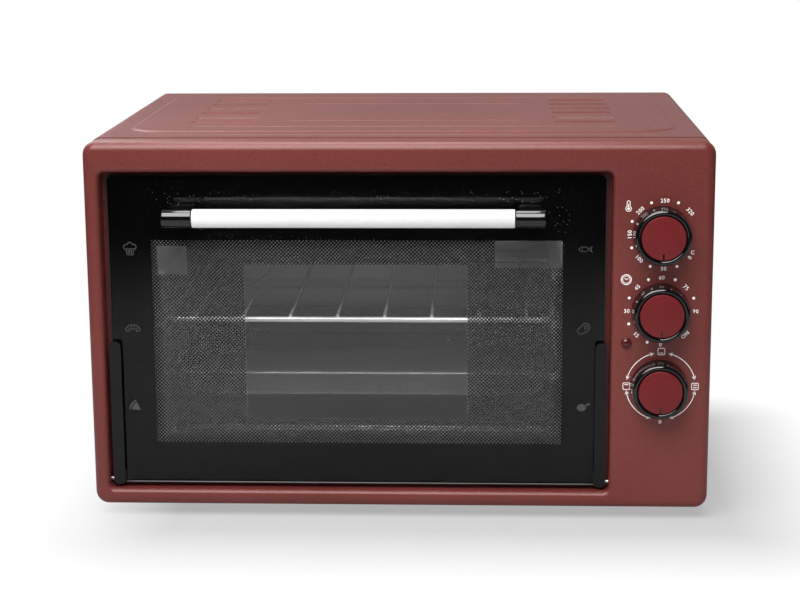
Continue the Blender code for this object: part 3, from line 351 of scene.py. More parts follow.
def grained(
    name, dark, light, roughness, metallic=0.0, grain=1500.0, cloud=14.0, relief=0.15, coat=0.0, fleck=None,
    specular=0.5
):
    """A finish that wanders between two colours, with grain in its relief and in its roughness."""
    made, nodes, shader, place = new_material(name)
    texture = place_group(nodes, "surface_grain", Vector=place, Grain_Scale=grain, Cloud_Scale=cloud)
    share = nodes.math("ADD", nodes.math("MULTIPLY", texture.outputs["Cloud"], 0.6),
                       nodes.math("MULTIPLY", texture.outputs["Grain"], 0.4))
    colour = nodes.mix(share, rgba(dark), rgba(light))
    # Light flecks mixed into the colour; on the red paint they are painted glints, the paint's sparkle painted
    # in.
    if fleck:
        spark = nodes.math("MULTIPLY", texture.outputs["Fleck"], fleck[0])
        colour = nodes.mix(spark, colour, rgba(fleck[1]))
    nodes.join(colour, shader.inputs["Base Color"])
    nodes.join(nodes.ramp(texture.outputs["Grain"], 0.0, 1.0, *roughness), shader.inputs["Roughness"])
    shader.inputs["Metallic"].default_value = metallic
    shader.inputs["Coat Weight"].default_value = coat
    shader.inputs["Coat Roughness"].default_value = 0.08
    shader.inputs["Specular IOR Level"].default_value = specular
    bump(nodes, shader, texture.outputs["Grain"], relief)
    return made


def streaked(name, dark, light, roughness, metallic, stretch, relief=0.08):
    """Rolled or drawn metal: streaks in colour, roughness and relief."""
    made, nodes, shader, place = new_material(name)
    texture = place_group(nodes, "rolled_streaks", Vector=place, Stretch=stretch)
    grain = place_group(nodes, "surface_grain", Vector=place, Grain_Scale=900.0, Cloud_Scale=18.0)
    share = nodes.math("ADD", nodes.math("MULTIPLY", texture.outputs["Streak"], 0.5),
                       nodes.math("MULTIPLY", grain.outputs["Cloud"], 0.5))
    nodes.join(nodes.mix(share, rgba(dark), rgba(light)), shader.inputs["Base Color"])
    nodes.join(nodes.ramp(texture.outputs["Streak"], 0.0, 1.0, *roughness), shader.inputs["Roughness"])
    shader.inputs["Metallic"].default_value = metallic
    bump(nodes, shader, texture.outputs["Streak"], relief)
    return made


def element_finish():
    """Heated sheath: grey-brown steel with bluish heat bands along its length."""
    made, nodes, shader, place = new_material("element_sheath")
    texture = place_group(nodes, "surface_grain", Vector=place, Grain_Scale=700.0, Cloud_Scale=22.0)
    heat = nodes.mix(texture.outputs["Cloud"], (0.44, 0.42, 0.38, 1), (0.32, 0.33, 0.36, 1))
    nodes.join(heat, shader.inputs["Base Color"])
    nodes.join(nodes.ramp(texture.outputs["Grain"], 0.0, 1.0, 0.20, 0.32), shader.inputs["Roughness"])
    shader.inputs["Metallic"].default_value = 0.7
    bump(nodes, shader, texture.outputs["Grain"], 0.15)
    return made


def clear_glass():
    """Smoked tempered glass, which lets most light through. The gloss of its face comes from the shader."""
    made, nodes, shader, place = new_material("smoked_glass")
    texture = place_group(nodes, "surface_grain", Vector=place, Grain_Scale=300.0, Cloud_Scale=9.0)
    tint = nodes.mix(texture.outputs["Cloud"], (0.010, 0.012, 0.012, 1), (0.016, 0.018, 0.018, 1))
    nodes.join(tint, shader.inputs["Base Color"])
    nodes.join(nodes.ramp(texture.outputs["Cloud"], 0.0, 1.0, 0.02, 0.035), shader.inputs["Roughness"])
    shader.inputs["Specular IOR Level"].default_value = 0.35
    shader.inputs["Alpha"].default_value = 0.012
    made.surface_render_method = "BLENDED"
    return made


def glass_edge():
    """The ground edge of the pane, which gathers light along its length."""
    made, nodes, shader, place = new_material("ground_glass_edge")
    texture = place_group(nodes, "surface_grain", Vector=place, Grain_Scale=1200.0, Cloud_Scale=25.0)
    tone = nodes.mix(texture.outputs["Cloud"], (0.018, 0.020, 0.020, 1), (0.032, 0.035, 0.035, 1))
    nodes.join(tone, shader.inputs["Base Color"])
    nodes.join(nodes.ramp(texture.outputs["Grain"], 0.0, 1.0, 0.25, 0.40), shader.inputs["Roughness"])
    bump(nodes, shader, texture.outputs["Grain"], 0.1)
    return made


def door_print():
    """Black print behind the glass: a solid border, clear dots, a clear window and two clear labels."""
    made, nodes, shader, place = new_material("door_print")
    split = nodes.add("ShaderNodeSeparateXYZ")
    nodes.join(place, split.inputs[0])
    x, z = split.outputs["X"], split.outputs["Z"]
    turns = 2 * math.pi / dot_pitch
    across = nodes.math("COSINE", nodes.math("MULTIPLY", x, turns))
    upward = nodes.math("COSINE", nodes.math("MULTIPLY", z, turns))
    inner_x = (screen_x[0] + dot_fade, screen_x[1] - dot_fade)
    inner_z = (screen_z[0] + dot_fade, screen_z[1] - dot_fade)
    open_share = nodes.math(
        "MULTIPLY", nodes.band(x, inner_x, dot_fade), nodes.band(z, inner_z, dot_fade)
    )
    shift = nodes.ramp(open_share, 0.0, 1.0, -0.55, -0.06)
    dots = nodes.ramp(nodes.math("ADD", nodes.math("MULTIPLY", across, upward), shift), -0.10, 0.16)

    def field(edges_x, edges_z):
        return nodes.math("MULTIPLY", nodes.band(x, edges_x), nodes.band(z, edges_z))

    clear = nodes.math("MULTIPLY", dots, field(screen_x, screen_z))
    for edges in ((window_x, window_z), (left_label_x, left_label_z), (right_label_x, right_label_z)):
        clear = nodes.math("MAXIMUM", clear, field(*edges))
    # The clear fields keep a faint pale veil: painted light that lightens what is seen through them.
    cover = nodes.ramp(clear, 0.0, 1.0, 1.0, painted_veil_cover)
    nodes.join(cover, shader.inputs["Alpha"])
    texture = place_group(nodes, "surface_grain", Vector=place, Grain_Scale=800.0, Cloud_Scale=10.0)
    ink = nodes.mix(texture.outputs["Cloud"], (0.0005, 0.0005, 0.0005, 1), (0.0012, 0.0012, 0.0012, 1))
    painted_veil = nodes.mix(texture.outputs["Cloud"], (0.42, 0.42, 0.42, 1), (0.50, 0.50, 0.50, 1))
    nodes.join(nodes.mix(clear, ink, painted_veil), shader.inputs["Base Color"])
    nodes.join(nodes.ramp(texture.outputs["Grain"], 0.0, 1.0, 0.05, 0.09), shader.inputs["Roughness"])
    shader.inputs["Specular IOR Level"].default_value = 0.36
    made.surface_render_method = "BLENDED"
    return made


FINISHES = {
    # The red paint's light flecks are painted glints.
    "red_paint": grained(
        "red_satin_paint", (0.106, 0.018, 0.015), (0.170, 0.035, 0.030), (0.26, 0.40), metallic=0.05,
        grain=1000.0, cloud=5.0, relief=0.35, fleck=(0.35, (0.30, 0.10, 0.085)), specular=0.45
    ),
    "red_cap": grained(
        "red_cap_paint", (0.110, 0.006, 0.008), (0.138, 0.010, 0.012), (0.34, 0.44), grain=1300.0, cloud=60.0,
        relief=0.15, specular=0.30
    ),
    "gloss_black": grained(
        "gloss_black_moulding", (0.0020, 0.0020, 0.0022), (0.004, 0.004, 0.0045), (0.05, 0.10), grain=260.0,
        cloud=30.0, relief=0.01, specular=0.8
    ),
    "hinge_black": grained(
        "hinge_black_moulding", (0.002, 0.002, 0.0022), (0.004, 0.004, 0.0045), (0.10, 0.18), grain=700.0,
        cloud=30.0, relief=0.04, specular=0.36
    ),
    "matt_black": grained(
        "matt_black_moulding", (0.012, 0.012, 0.013), (0.020, 0.020, 0.021), (0.42, 0.56), grain=1400.0,
        cloud=30.0, relief=0.25, specular=0.4
    ),
    "white_lacquer": grained(
        "white_lacquer", (0.62, 0.62, 0.615), (0.68, 0.68, 0.67), (0.10, 0.16), grain=300.0, cloud=8.0,
        relief=0.01, coat=0.3
    ),
    "cavity_steel": streaked(
        "aluminised_steel", (0.50, 0.505, 0.51), (0.62, 0.625, 0.63), (0.38, 0.52), 0.35, (6.0, 160.0, 160.0)
    ),
    "zinc": streaked(
        "zinc_plate", (0.36, 0.37, 0.37), (0.50, 0.50, 0.49), (0.30, 0.44), 0.9, (60.0, 60.0, 260.0)
    ),
    "chrome": streaked(
        "chromed_wire", (0.60, 0.60, 0.61), (0.72, 0.72, 0.73), (0.10, 0.20), 0.55, (90.0, 90.0, 90.0)
    ),
    "enamel": grained(
        "grey_enamel", (0.075, 0.075, 0.077), (0.105, 0.105, 0.108), (0.08, 0.15), grain=900.0, cloud=16.0,
        relief=0.02, coat=0.6, fleck=(0.25, (0.20, 0.20, 0.21)), specular=0.6
    ),
    "element": element_finish(),
    "ceramic": grained(
        "steatite", (0.58, 0.56, 0.51), (0.70, 0.68, 0.62), (0.45, 0.65), grain=900.0, cloud=80.0, relief=0.2
    ),
    "lens": grained(
        "red_lamp_lens", (0.045, 0.004, 0.005), (0.070, 0.006, 0.007), (0.08, 0.14), grain=400.0, cloud=120.0,
        relief=0.03, coat=0.4
    ),
    "cream": grained(
        "cream_moulding", (0.52, 0.49, 0.42), (0.62, 0.59, 0.51), (0.40, 0.55), grain=700.0, cloud=40.0,
        relief=0.12
    ),
    "copper": streaked(
        "bare_copper", (0.46, 0.22, 0.13), (0.60, 0.31, 0.20), (0.25, 0.40), 1.0, (90.0, 20.0, 90.0)
    ),
    "rubber": grained(
        "black_rubber", (0.014, 0.014, 0.014), (0.026, 0.026, 0.026), (0.65, 0.85), grain=1100.0, cloud=60.0,
        relief=0.3
    ),
    "mark": grained(
        "white_mark_ink", (0.84, 0.81, 0.79), (0.94, 0.92, 0.90), (0.40, 0.55), grain=2500.0, cloud=300.0,
        relief=0.05
    ),
    "icon": grained(
        "grey_icon_ink", (0.045, 0.045, 0.046), (0.065, 0.065, 0.066), (0.30, 0.45), grain=2500.0,
        cloud=200.0, relief=0.05
    ),
    "glass": clear_glass(),
    "glass_edge": glass_edge(),
    "print": door_print(),
}


# Mesh helpers


def new_piece(name, bm, finishes, sharp=35):
    """An object from a bmesh, shaded round except at its sharp edges."""
    bmesh.ops.recalc_face_normals(bm, faces=bm.faces)
    mesh = bpy.data.meshes.new(name)
    bm.to_mesh(mesh)
    bm.free()
    mesh.shade_smooth()
    mesh.set_sharp_from_angle(angle=math.radians(sharp))
    piece = bpy.data.objects.new(name, mesh)
    scene.collection.objects.link(piece)
    for finish in finishes:
        mesh.materials.append(FINISHES[finish])
    return piece


def seat(piece, body, slot, *nodes):
    """The piece rides on a body and stands for the CAD nodes named. The slot is not used."""
    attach(piece, body)
    if nodes:
        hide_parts(*nodes)
    return piece


def applied(piece):
    """The piece with its modifiers made part of its mesh."""
    bpy.context.view_layer.update()
    mesh = bpy.data.meshes.new_from_object(piece.evaluated_get(bpy.context.evaluated_depsgraph_get()))
    piece.modifiers.clear()
    piece.data = mesh
    return piece


def cut(piece, cutter):
    """Cuts the cutter out of the piece and removes it."""
    step = piece.modifiers.new("cut", "BOOLEAN")
    step.operation = "DIFFERENCE"
    step.solver = "EXACT"
    step.object = cutter
    applied(piece)
    bpy.data.objects.remove(cutter, do_unlink=True)
    return piece


def softened(piece, width, segments=3, angle=35):
    edge = piece.modifiers.new("edge", "BEVEL")
    edge.width = width
    edge.segments = segments
    edge.limit_method = "ANGLE"
    edge.angle_limit = math.radians(angle)
    edge.harden_normals = True
    return piece


def sheeted(piece, thickness):
    """Makes an open sheet thick on its back."""
    solid = piece.modifiers.new("sheet", "SOLIDIFY")
    solid.thickness = thickness
    solid.offset = -1
    solid.use_even_offset = True
    return piece


def block(name, finishes, first, second):
    """A block between two corners."""
    bm = bmesh.new()
    first, second = Vector(first), Vector(second)
    place = Matrix.Translation((first + second) / 2) @ Matrix.Diagonal((*(second - first), 1))
    bmesh.ops.create_cube(bm, size=1, matrix=place)
    return new_piece(name, bm, finishes)


def quarter_turn(steps=roll_steps):
    """Pairs from (0, 1) to (1, 0) round a quarter circle: how far in, and how far back."""
    angles = [k / steps * math.pi / 2 for k in range(steps + 1)]
    return [(1 - math.cos(angle), 1 - math.sin(angle)) for angle in angles]


def rounded(x0, x1, z0, z1, radius, steps=round_steps):
    """A rectangle with round corners, as points that run anticlockwise from its top right."""
    points = []
    for sx, sz, quarter in ((x1, z1, 0), (x0, z1, 1), (x0, z0, 2), (x1, z0, 3)):
        mx = sx - radius if sx == x1 else sx + radius
        mz = sz - radius if sz == z1 else sz + radius
        for k in range(steps + 1):
            angle = (quarter + k / steps) * math.pi / 2
            points.append((mx + radius * math.cos(angle), mz + radius * math.sin(angle)))
    return points


def loft(bm, sections, closed=True, cap_first=False, cap_last=False):
    """Quads between sections of equal length."""
    rows = [[bm.verts.new(point) for point in section] for section in sections]
    for first, second in zip(rows, rows[1:]):
        count = len(first)
        for i in range(count if closed else count - 1):
            j = (i + 1) % count
            bm.faces.new((first[i], first[j], second[j], second[i]))
    if cap_first:
        bm.faces.new(rows[0][::-1])
    if cap_last:
        bm.faces.new(rows[-1])
    return rows


def towards(bm, direction):
    """Turns an open sheet's faces to a direction."""
    bmesh.ops.recalc_face_normals(bm, faces=bm.faces)
    bm.normal_update()
    facing = sum(face.normal.dot(direction) * face.calc_area() for face in bm.faces)
    if facing < 0:
        bmesh.ops.reverse_faces(bm, faces=bm.faces)


def sheet_piece(name, bm, finishes, direction, thickness):
    towards(bm, direction)
    mesh = bpy.data.meshes.new(name)
    bm.to_mesh(mesh)
    bm.free()
    mesh.shade_smooth()
    mesh.set_sharp_from_angle(angle=math.radians(50))
    piece = bpy.data.objects.new(name, mesh)
    scene.collection.objects.link(piece)
    for finish in finishes:
        mesh.materials.append(FINISHES[finish])
    return applied(sheeted(piece, thickness))


AXIS_TURNS = {
    "front": Matrix.Rotation(math.pi / 2, 4, "X"),
    "back": Matrix.Rotation(-math.pi / 2, 4, "X"),
    "up": Matrix.Identity(4),
    "right": Matrix.Rotation(math.pi / 2, 4, "Y"),
    "left": Matrix.Rotation(-math.pi / 2, 4, "Y"),
}


def turned(name, finishes, profile, axis, place, sides=turned_sides, sharp=35, closed=False):
    """A profile of (radius, height) points turned about an axis through a place."""
    bm = bmesh.new()
    rings = []
    for radius, height in profile:
        if radius == 0:
            rings.append([bm.verts.new((0, 0, height))])
            continue
        angles = [2 * math.pi * k / sides for k in range(sides)]
        rings.append([bm.verts.new((radius * math.cos(a), radius * math.sin(a), height)) for a in angles])
    pairs = list(zip(rings, rings[1:]))
    if closed:
        pairs.append((rings[-1], rings[0]))
    for first, second in pairs:
        for i in range(sides):
            j = (i + 1) % sides
            corners = [first[i % len(first)], first[j % len(first)]]
            corners += [second[j % len(second)], second[i % len(second)]]
            corners = list(dict.fromkeys(corners))
            if len(corners) > 2:
                bm.faces.new(corners)
    bm.transform(Matrix.Translation(place) @ AXIS_TURNS[axis])
    return new_piece(name, bm, finishes, sharp)


def arc(radius, height, bend, first, last, steps=6):
    """Profile points round an edge of radius bend about (radius, height), between two angles in degrees."""
    points = []
    for k in range(steps + 1):
        angle = math.radians(first + (last - first) * k / steps)
        points.append((radius + bend * math.cos(angle), height + bend * math.sin(angle)))
    return points


def wire(name, finish, points, radius, cyclic=False, sides=wire_sides):
    """A round wire through points, as a mesh with closed ends."""
    curve = bpy.data.curves.new(name, "CURVE")
    curve.dimensions = "3D"
    curve.bevel_depth = radius
    curve.bevel_resolution = sides // 4
    curve.use_fill_caps = not cyclic
    spline = curve.splines.new("POLY")
    spline.points.add(len(points) - 1)
    for point, place in zip(spline.points, points):
        point.co = (*place, 1)
    spline.use_cyclic_u = cyclic
    guide = bpy.data.objects.new(name + "_guide", curve)
    scene.collection.objects.link(guide)
    bpy.context.view_layer.update()
    mesh = bpy.data.meshes.new_from_object(guide.evaluated_get(bpy.context.evaluated_depsgraph_get()))
    bpy.data.objects.remove(guide, do_unlink=True)
    bm = bmesh.new()
    bm.from_mesh(mesh)
    bpy.data.meshes.remove(mesh)
    bmesh.ops.remove_doubles(bm, verts=bm.verts, dist=0.000001)
    return new_piece(name, bm, [finish])


def joined(name, pieces):
    """Several pieces as one object with one mesh."""
    bm = bmesh.new()
    for piece in pieces:
        piece.data.transform(piece.matrix_basis)
        bm.from_mesh(piece.data)
    finishes = [slot.name for slot in pieces[0].data.materials]
    for piece in pieces:
        bpy.data.objects.remove(piece, do_unlink=True)
    keys = {made.name: key for key, made in FINISHES.items()}
    return new_piece(name, bm, [keys[finish] for finish in finishes])


def refined(name, node, finish, edge=0.0, segments=2, sharp=35):
    """A node's own shape with its facets merged, its edges softened and its round faces shaded round."""
    bm = bmesh.new()
    bm.from_mesh(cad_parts[node].data)
    bmesh.ops.remove_doubles(bm, verts=bm.verts, dist=0.000002)
    bmesh.ops.dissolve_limit(bm, angle_limit=math.radians(0.5), verts=bm.verts, edges=bm.edges)
    piece = new_piece(name, bm, [finish], sharp)
    if edge:
        softened(piece, edge, segments)
        applied(piece)
    return piece


# Case


def at_depth(points, y):
    return [(x, y, z) for x, z in points]


def make_front_frame():
    """The pressed fascia: flange, outer roll, face, opening roll, side walls and the door's seat."""
    sections = []

    def outer(inset, y):
        outline = rounded(
            -half_case + inset, half_case - inset, foot_height + inset, case_top - inset, frame_corner - inset
        )
        sections.append(at_depth(outline, y))

    def opening(grow, y):
        outline = rounded(
            opening_left - grow, opening_right + grow, opening_bottom - grow, opening_top + grow,
            opening_corner + grow
        )
        sections.append(at_depth(outline, y))

    outer(crease_depth / 2, flange_back)
    crease = face_y + frame_roll + crease_width
    outer(crease_depth / 2, crease + crease_width)
    outer(crease_depth, crease)
    outer(crease_depth, crease - crease_width / 3)
    for inward, behind in quarter_turn(12):
        outer(frame_roll * inward, face_y + frame_roll * behind)
    for behind, outward in quarter_turn():
        opening(opening_roll * outward, face_y + opening_roll * behind)
    opening(0, face_y + opening_depth - 0.001)
    opening(0, face_y + opening_depth)
    mouth = rounded(mouth_left, mouth_right, mouth_bottom, mouth_top, mouth_corner)
    sections.append(at_depth(mouth, face_y + opening_depth))
    bm = bmesh.new()
    loft(bm, sections)
    fascia = sheet_piece("front_frame_shell", bm, ["red_paint"], Vector((0, -1, 0)), frame_sheet)
    for side in ("left", "right"):
        strap_low, strap_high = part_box(f"door_stay_{side}")
        x = (strap_low.x + strap_high.x) / 2
        level = high(f"door_stay_{side}").z
        slot = block(
            "stay_slot", [], (x - 0.0016, face_y + opening_depth - 0.002, level - 0.0145),
            (x + 0.0016, face_y + opening_depth + 0.003, level - 0.0012)
        )
        cut(fascia, slot)
        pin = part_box(f"hinge_pin_{side}")
        wall = opening_left if side == "left" else opening_right
        spot = (wall, (pin[0].y + pin[1].y) / 2, (pin[0].z + pin[1].z) / 2)
        outline = ((0, -0.01), (0.0019, -0.01), (0.0019, 0.01), (0, 0.01))
        hole = turned("pin_hole", [], outline, "right", spot, 24)
        cut(fascia, hole)
    for name in controls:
        place = centre(f"{name}_shaft")
        hole = turned(
            "shaft_hole", [], ((0, -0.004), (0.005, -0.004), (0.005, 0.004), (0, 0.004)), "front",
            (place.x, face_y, place.z), 32
        )
        cut(fascia, hole)
    fascia.data.shade_smooth()
    fascia.data.set_sharp_from_angle(angle=math.radians(50))
    return seat(fascia, "case", "red_paint", "front_frame")


def smooth_share(value):
    value = max(0.0, min(1.0, value))
    return value * value * (3 - 2 * value)


def platform_distance(x, y):
    """How far inside the raised panel's outline a point lies."""
    half = half_case - wrapper_inset - platform_side
    front = face_y + platform_front
    rear = case_back - platform_back
    qx = abs(x) - half + platform_corner
    qy = abs(y - (front + rear) / 2) - (rear - front) / 2 + platform_corner
    outside = math.hypot(max(qx, 0), max(qy, 0)) + min(max(qx, qy), 0) - platform_corner
    return -outside


def louvre_at(x, y):
    """How far down a louvre's lip is pressed: it slopes down from its front edge to its rear one."""
    for i in range(louvre_count):
        front = face_y + louvre_first + i * louvre_pitch - louvre_width / 2
        if front <= y <= front + louvre_width:
            along = louvre_length / 2 - abs(abs(x) - louvre_middle)
            fall = smooth_share((y - front) / (louvre_width - 0.0009))
            return louvre_depth * fall * smooth_share(along / 0.0035)
    return 0.0


def top_height(x, y):
    """The height of the case's top over its flat, at one point."""
    height = platform_rise * smooth_share(platform_distance(x, y) / platform_slope)
    for half, place in line_table:
        gap = math.hypot(max(abs(x) - half + line_width / 2, 0), y - face_y - place)
        if gap < line_width / 2:
            height -= line_depth * (1 + math.cos(2 * math.pi * gap / line_width)) / 2
    return height - louvre_at(x, y)


def spread(marks, least):
    """Sorted places with those closer than the least gap left out."""
    kept = []
    for mark in sorted(marks):
        if not kept or mark - kept[-1] >= least:
            kept.append(mark)
    return kept


def wrapper_columns():
    """Places across the flat of the top, closer together where something is pressed in it."""
    half = half_case - wrapper_inset - wrapper_corner
    edge = half_case - wrapper_inset - platform_side
    marks = [0.0, half]
    marks += [edge - platform_corner + k * platform_corner / 20 for k in range(20)]
    marks += [edge - platform_slope + k * platform_slope / 4 for k in range(6)]
    for end, _ in line_table:
        marks += [end - line_width / 2 + k * line_width / 10 for k in range(7)]
    for end in (louvre_middle - louvre_length / 2, louvre_middle + louvre_length / 2):
        inward = 1 if end < louvre_middle else -1
        marks += [end + inward * k * 0.0035 / 4 for k in range(5)]
    marks += [k * half / 40 for k in range(40)]
    right = [mark for mark in spread(marks, 0.0004) if mark <= half]
    return [-mark for mark in reversed(right[1:])] + right


def wrapper_rows():
    """Places along the depth of the top, with the two rows of each louvre's open slit."""
    front = face_y + platform_front
    rear = case_back - platform_back
    marks = []
    for start, end in ((front, front + platform_corner), (rear - platform_corner, rear)):
        marks += [start + k * (end - start) / 20 for k in range(21)]
    marks += [front + k * platform_slope / 4 for k in range(5)]
    marks += [rear - k * platform_slope / 4 for k in range(5)]
    for _, place in line_table:
        marks += [face_y + place + (k - 5) * line_width / 10 for k in range(11)]
    marks += [flange_back + 0.003 + k * 0.010 for k in range(35)]
    slits = []
    for i in range(louvre_count):
        start = face_y + louvre_first + i * louvre_pitch - louvre_width / 2
        slits.append((start, start + louvre_width))
    marks = [mark for mark in marks if all(not a - 0.0004 < mark < b + 0.0004 for a, b in slits)]
    marks = spread([mark for mark in marks if mark < case_back - wrapper_back_roll - 0.001], 0.0004)
    for start, end in slits:
        marks += [start + k * (louvre_width - 0.0009) / 6 for k in range(7)]
        marks += [end - 0.0004, end]
    return sorted(marks)


def make_outer_wrapper():
    """The top and sides as one sheet, pressed with the raised panel, its lines and its louvres."""
    columns = wrapper_columns()
    flat_half = columns[-1]
    start = flange_back + wrapper_groove
    rows = [(start - wrapper_tongue, wrapper_step), (start - 0.0003, wrapper_step), (start, wrapper_step)]
    rows += [(start + wrapper_joggle * k / 4, wrapper_step * (1 - smooth_share(k / 4))) for k in range(1, 5)]
    rows += [(y, 0.0) for y in wrapper_rows() if y > start + wrapper_joggle + 0.0005]
    for inward, behind in quarter_turn(6):
        rows.append((case_back - wrapper_back_roll * behind, wrapper_back_roll * inward))
    rows.append((case_back, wrapper_back_lip))
    base = low("outer_wrapper").z
    half = half_case - wrapper_inset
    sections = []
    for y, inset in rows:
        x = half - inset
        top = case_top - inset
        flat = x - wrapper_corner
        section = [(-x, y, base + (top - wrapper_corner - base) * k / 8) for k in range(8)]
        for k in range(round_steps):
            angle = math.pi - k / round_steps * math.pi / 2
            rise = top - wrapper_corner + wrapper_corner * math.sin(angle)
            section.append((-flat + wrapper_corner * math.cos(angle), y, rise))
        for column in columns:
            across = column * flat / flat_half
            section.append((across, y, top + (top_height(column, y) if inset == 0 else 0.0)))
        for k in range(1, round_steps + 1):
            angle = math.pi / 2 - k / round_steps * math.pi / 2
            rise = top - wrapper_corner + wrapper_corner * math.sin(angle)
            section.append((flat + wrapper_corner * math.cos(angle), y, rise))
        section += [(x, y, top - wrapper_corner - (top - wrapper_corner - base) * k / 8) for k in range(1, 9)]
        sections.append(section)
    bm = bmesh.new()
    loft(bm, sections, closed=False)
    slits = []
    for face in bm.faces:
        drop = max(vert.co.z for vert in face.verts) - min(vert.co.z for vert in face.verts)
        depth = max(vert.co.y for vert in face.verts) - min(vert.co.y for vert in face.verts)
        if depth < 0.00045 and drop > louvre_depth * 0.5 and abs(face.calc_center_median().x) < flat_half:
            slits.append(face)
    bmesh.ops.delete(bm, geom=slits, context="FACES")
    wrapper = sheet_piece("outer_wrapper_shell", bm, ["red_paint"], Vector((0, 0, 1)), panel_sheet)
    return seat(wrapper, "case", "red_paint", "outer_wrapper")


def make_feet():
    for end in ("front", "back"):
        for side in ("left", "right"):
            node = f"foot_{end}_{side}"
            place = centre(node)
            radius = 0.009
            top = foot_height + frame_sheet
            profile = [(0, 0.0004), (0.0045, 0.0004), (0.0050, 0)]
            profile += arc(0.0064, 0.0008, 0.0008, -90, 0, 4)
            profile += [(radius - 0.0009, panel_sheet + 0.004)]
            profile += arc(radius - 0.0008, top - 0.0008, 0.0008, 0, 90, 4)
            profile += [(0.003, top), (0.003, top + 0.0014), (0.0036, top + 0.0016), (0.0015, high(node).z)]
            profile += [(0, high(node).z)]
            foot = turned(f"{node}_moulding", ["rubber"], profile, "up", (place.x, place.y, 0), 40)
            seat(foot, "case", "rubber", node)


def screw_head(name, node, finish, radius, body, slot):
    """A pan head with a cross recess, on the shank of the node."""
    place = centre(node)
    back = high(node).y
    head = 0.0022
    profile = [(0, head)]
    profile += arc(radius - 0.0016, head - 0.0016, 0.0016, 90, 0, 8)
    profile += [(radius, 0), (0.0018, 0), (0.0018, -0.0065), (0.0005, -0.008), (0, -0.008)]
    screw = turned(name, [finish], profile, "back", (place.x, back - head, place.z), 40)
    for along, across in ((0.0022, 0.00045), (0.00045, 0.0022)):
        cutter = block(
            "drive", [], (place.x - along, back - 0.0009, place.z - across),
            (place.x + along, back + 0.001, place.z + across)
        )
        cut(screw, cutter)
    return seat(screw, body, slot, node)


def make_back():
    panel = refined("back_panel_pressing", "back_panel", "zinc", 0.0006, 2, 12)
    seat(panel, "case", "zinc", "back_panel")
    for end in ("low", "high"):
        for side in ("left", "right"):
            node = f"back_screw_{end}_{side}"
            screw_head(f"{node}_head", node, "zinc", 0.0038, "case", "zinc")
    node = "cord_inlet_bush"
    place = centre(node)
    outer = (high(node).x - low(node).x) / 2
    back = high(node).y
    profile = arc(outer - 0.0008, -0.0008, 0.0008, 90, 0, 4)
    profile += [(outer, -0.003), (0.0065, -0.003), (0.0065, -0.013), (0.0043, -0.013), (0.0042, -0.0006)]
    profile += [(0.0050, 0.0)]
    spot = (place.x, back, place.z)
    bush = turned("cord_inlet_grommet", ["matt_black"], profile, "back", spot, 48, closed=True)
    seat(bush, "case", "matt_black", node)
    base = refined("base_pan", "base_panel", "zinc", 0.0003)
    seat(base, "case", "zinc", "base_panel")


def make_cavity():
    for part in ("left_wall", "right_wall", "floor", "ceiling", "back_wall"):
        node = f"cavity_{part}"
        sheet = refined(f"{node}_sheet", node, "cavity_steel", 0.0006, 3, 20)
        seat(sheet, "case", "grey_steel", node)
    for level in ("lower", "upper"):
        for end in ("front", "back"):
            node = f"element_{level}_{end}"
            place = centre(node)
            half = (high(node).x - low(node).x) / 2
            reach = half - 0.007
            profile = [(0, half), (0.0017, half), (0.0020, half - 0.0003), (0.0020, reach)]
            profile += arc(0.0036, reach - 0.0004, 0.0004, 90, 0, 3)
            profile += [(r, -h) for r, h in reversed(profile)]
            rod = turned(f"{node}_sheath", ["element"], profile, "right", place, 32)
            seat(rod, "case", "element_steel", node)
            for side in ("left", "right"):
                bush = f"bush_{level}_{end}_{side}"
                seat(refined(f"{bush}_ceramic", bush, "ceramic", 0.0004, 2, 40), "case", "ceramic", bush)


# Printed shapes: each is a list of flat polygons of (x, z) points


def ribbon(points, width, closed=False):
    """A line of even width through points, with mitred bends."""
    count = len(points)
    sides = []
    for i, (x, z) in enumerate(points):
        before = points[i - 1] if i or closed else points[i]
        after = points[(i + 1) % count] if i < count - 1 or closed else points[i]
        one = Vector((x - before[0], z - before[1]))
        two = Vector((after[0] - x, after[1] - z))
        first = one.normalized() if one.length else two.normalized()
        second = two.normalized() if two.length else first
        along = (first + second).normalized() if (first + second).length > 0.01 else first
        reach = width / 2 / max(0.35, along.dot(first))
        sides.append(((x - along.y * reach, z + along.x * reach), (x + along.y * reach, z - along.x * reach)))
    shapes = []
    for i in range(count if closed else count - 1):
        a, b = sides[i], sides[(i + 1) % count]
        shapes.append([a[0], a[1], b[1], b[0]])
    return shapes


def disc(x, z, radius, sides=20):
    angles = [2 * math.pi * k / sides for k in range(sides)]
    return [[(x + radius * math.cos(a), z + radius * math.sin(a)) for a in angles]]


def bow(x, z, radius, first, last, steps=16, squash=1.0):
    """Points round part of a circle, clockwise from the top, in degrees."""
    points = []
    for k in range(steps + 1):
        angle = math.radians(first + (last - first) * k / steps)
        points.append((x + radius * math.sin(angle), z + radius * squash * math.cos(angle)))
    return points


def lettering(text, x, z, height, turn=0.0):
    """The outlines of plain digits or letters, middled on a place and turned clockwise, in degrees."""
    curve = bpy.data.curves.new("lettering", "FONT")
    curve.body = text
    curve.align_x = "CENTER"
    curve.resolution_u = 3
    curve.offset = 0.012
    curve.space_character = 1.12
    guide = bpy.data.objects.new("lettering", curve)
    scene.collection.objects.link(guide)
    bpy.context.view_layer.update()
    mesh = bpy.data.meshes.new_from_object(guide.evaluated_get(bpy.context.evaluated_depsgraph_get()))
    bpy.data.objects.remove(guide, do_unlink=True)
    tall = max(vert.co.y for vert in mesh.vertices)
    angle = math.radians(-turn)
    places = []
    for vert in mesh.vertices:
        u = vert.co.x * height / tall
        v = (vert.co.y / tall - 0.5) * height
        across = u * math.cos(angle) - v * math.sin(angle)
        upward = u * math.sin(angle) + v * math.cos(angle)
        places.append((x + across, z + upward))
    shapes = [[places[index] for index in face.vertices] for face in mesh.polygons]
    bpy.data.meshes.remove(mesh)
    return shapes


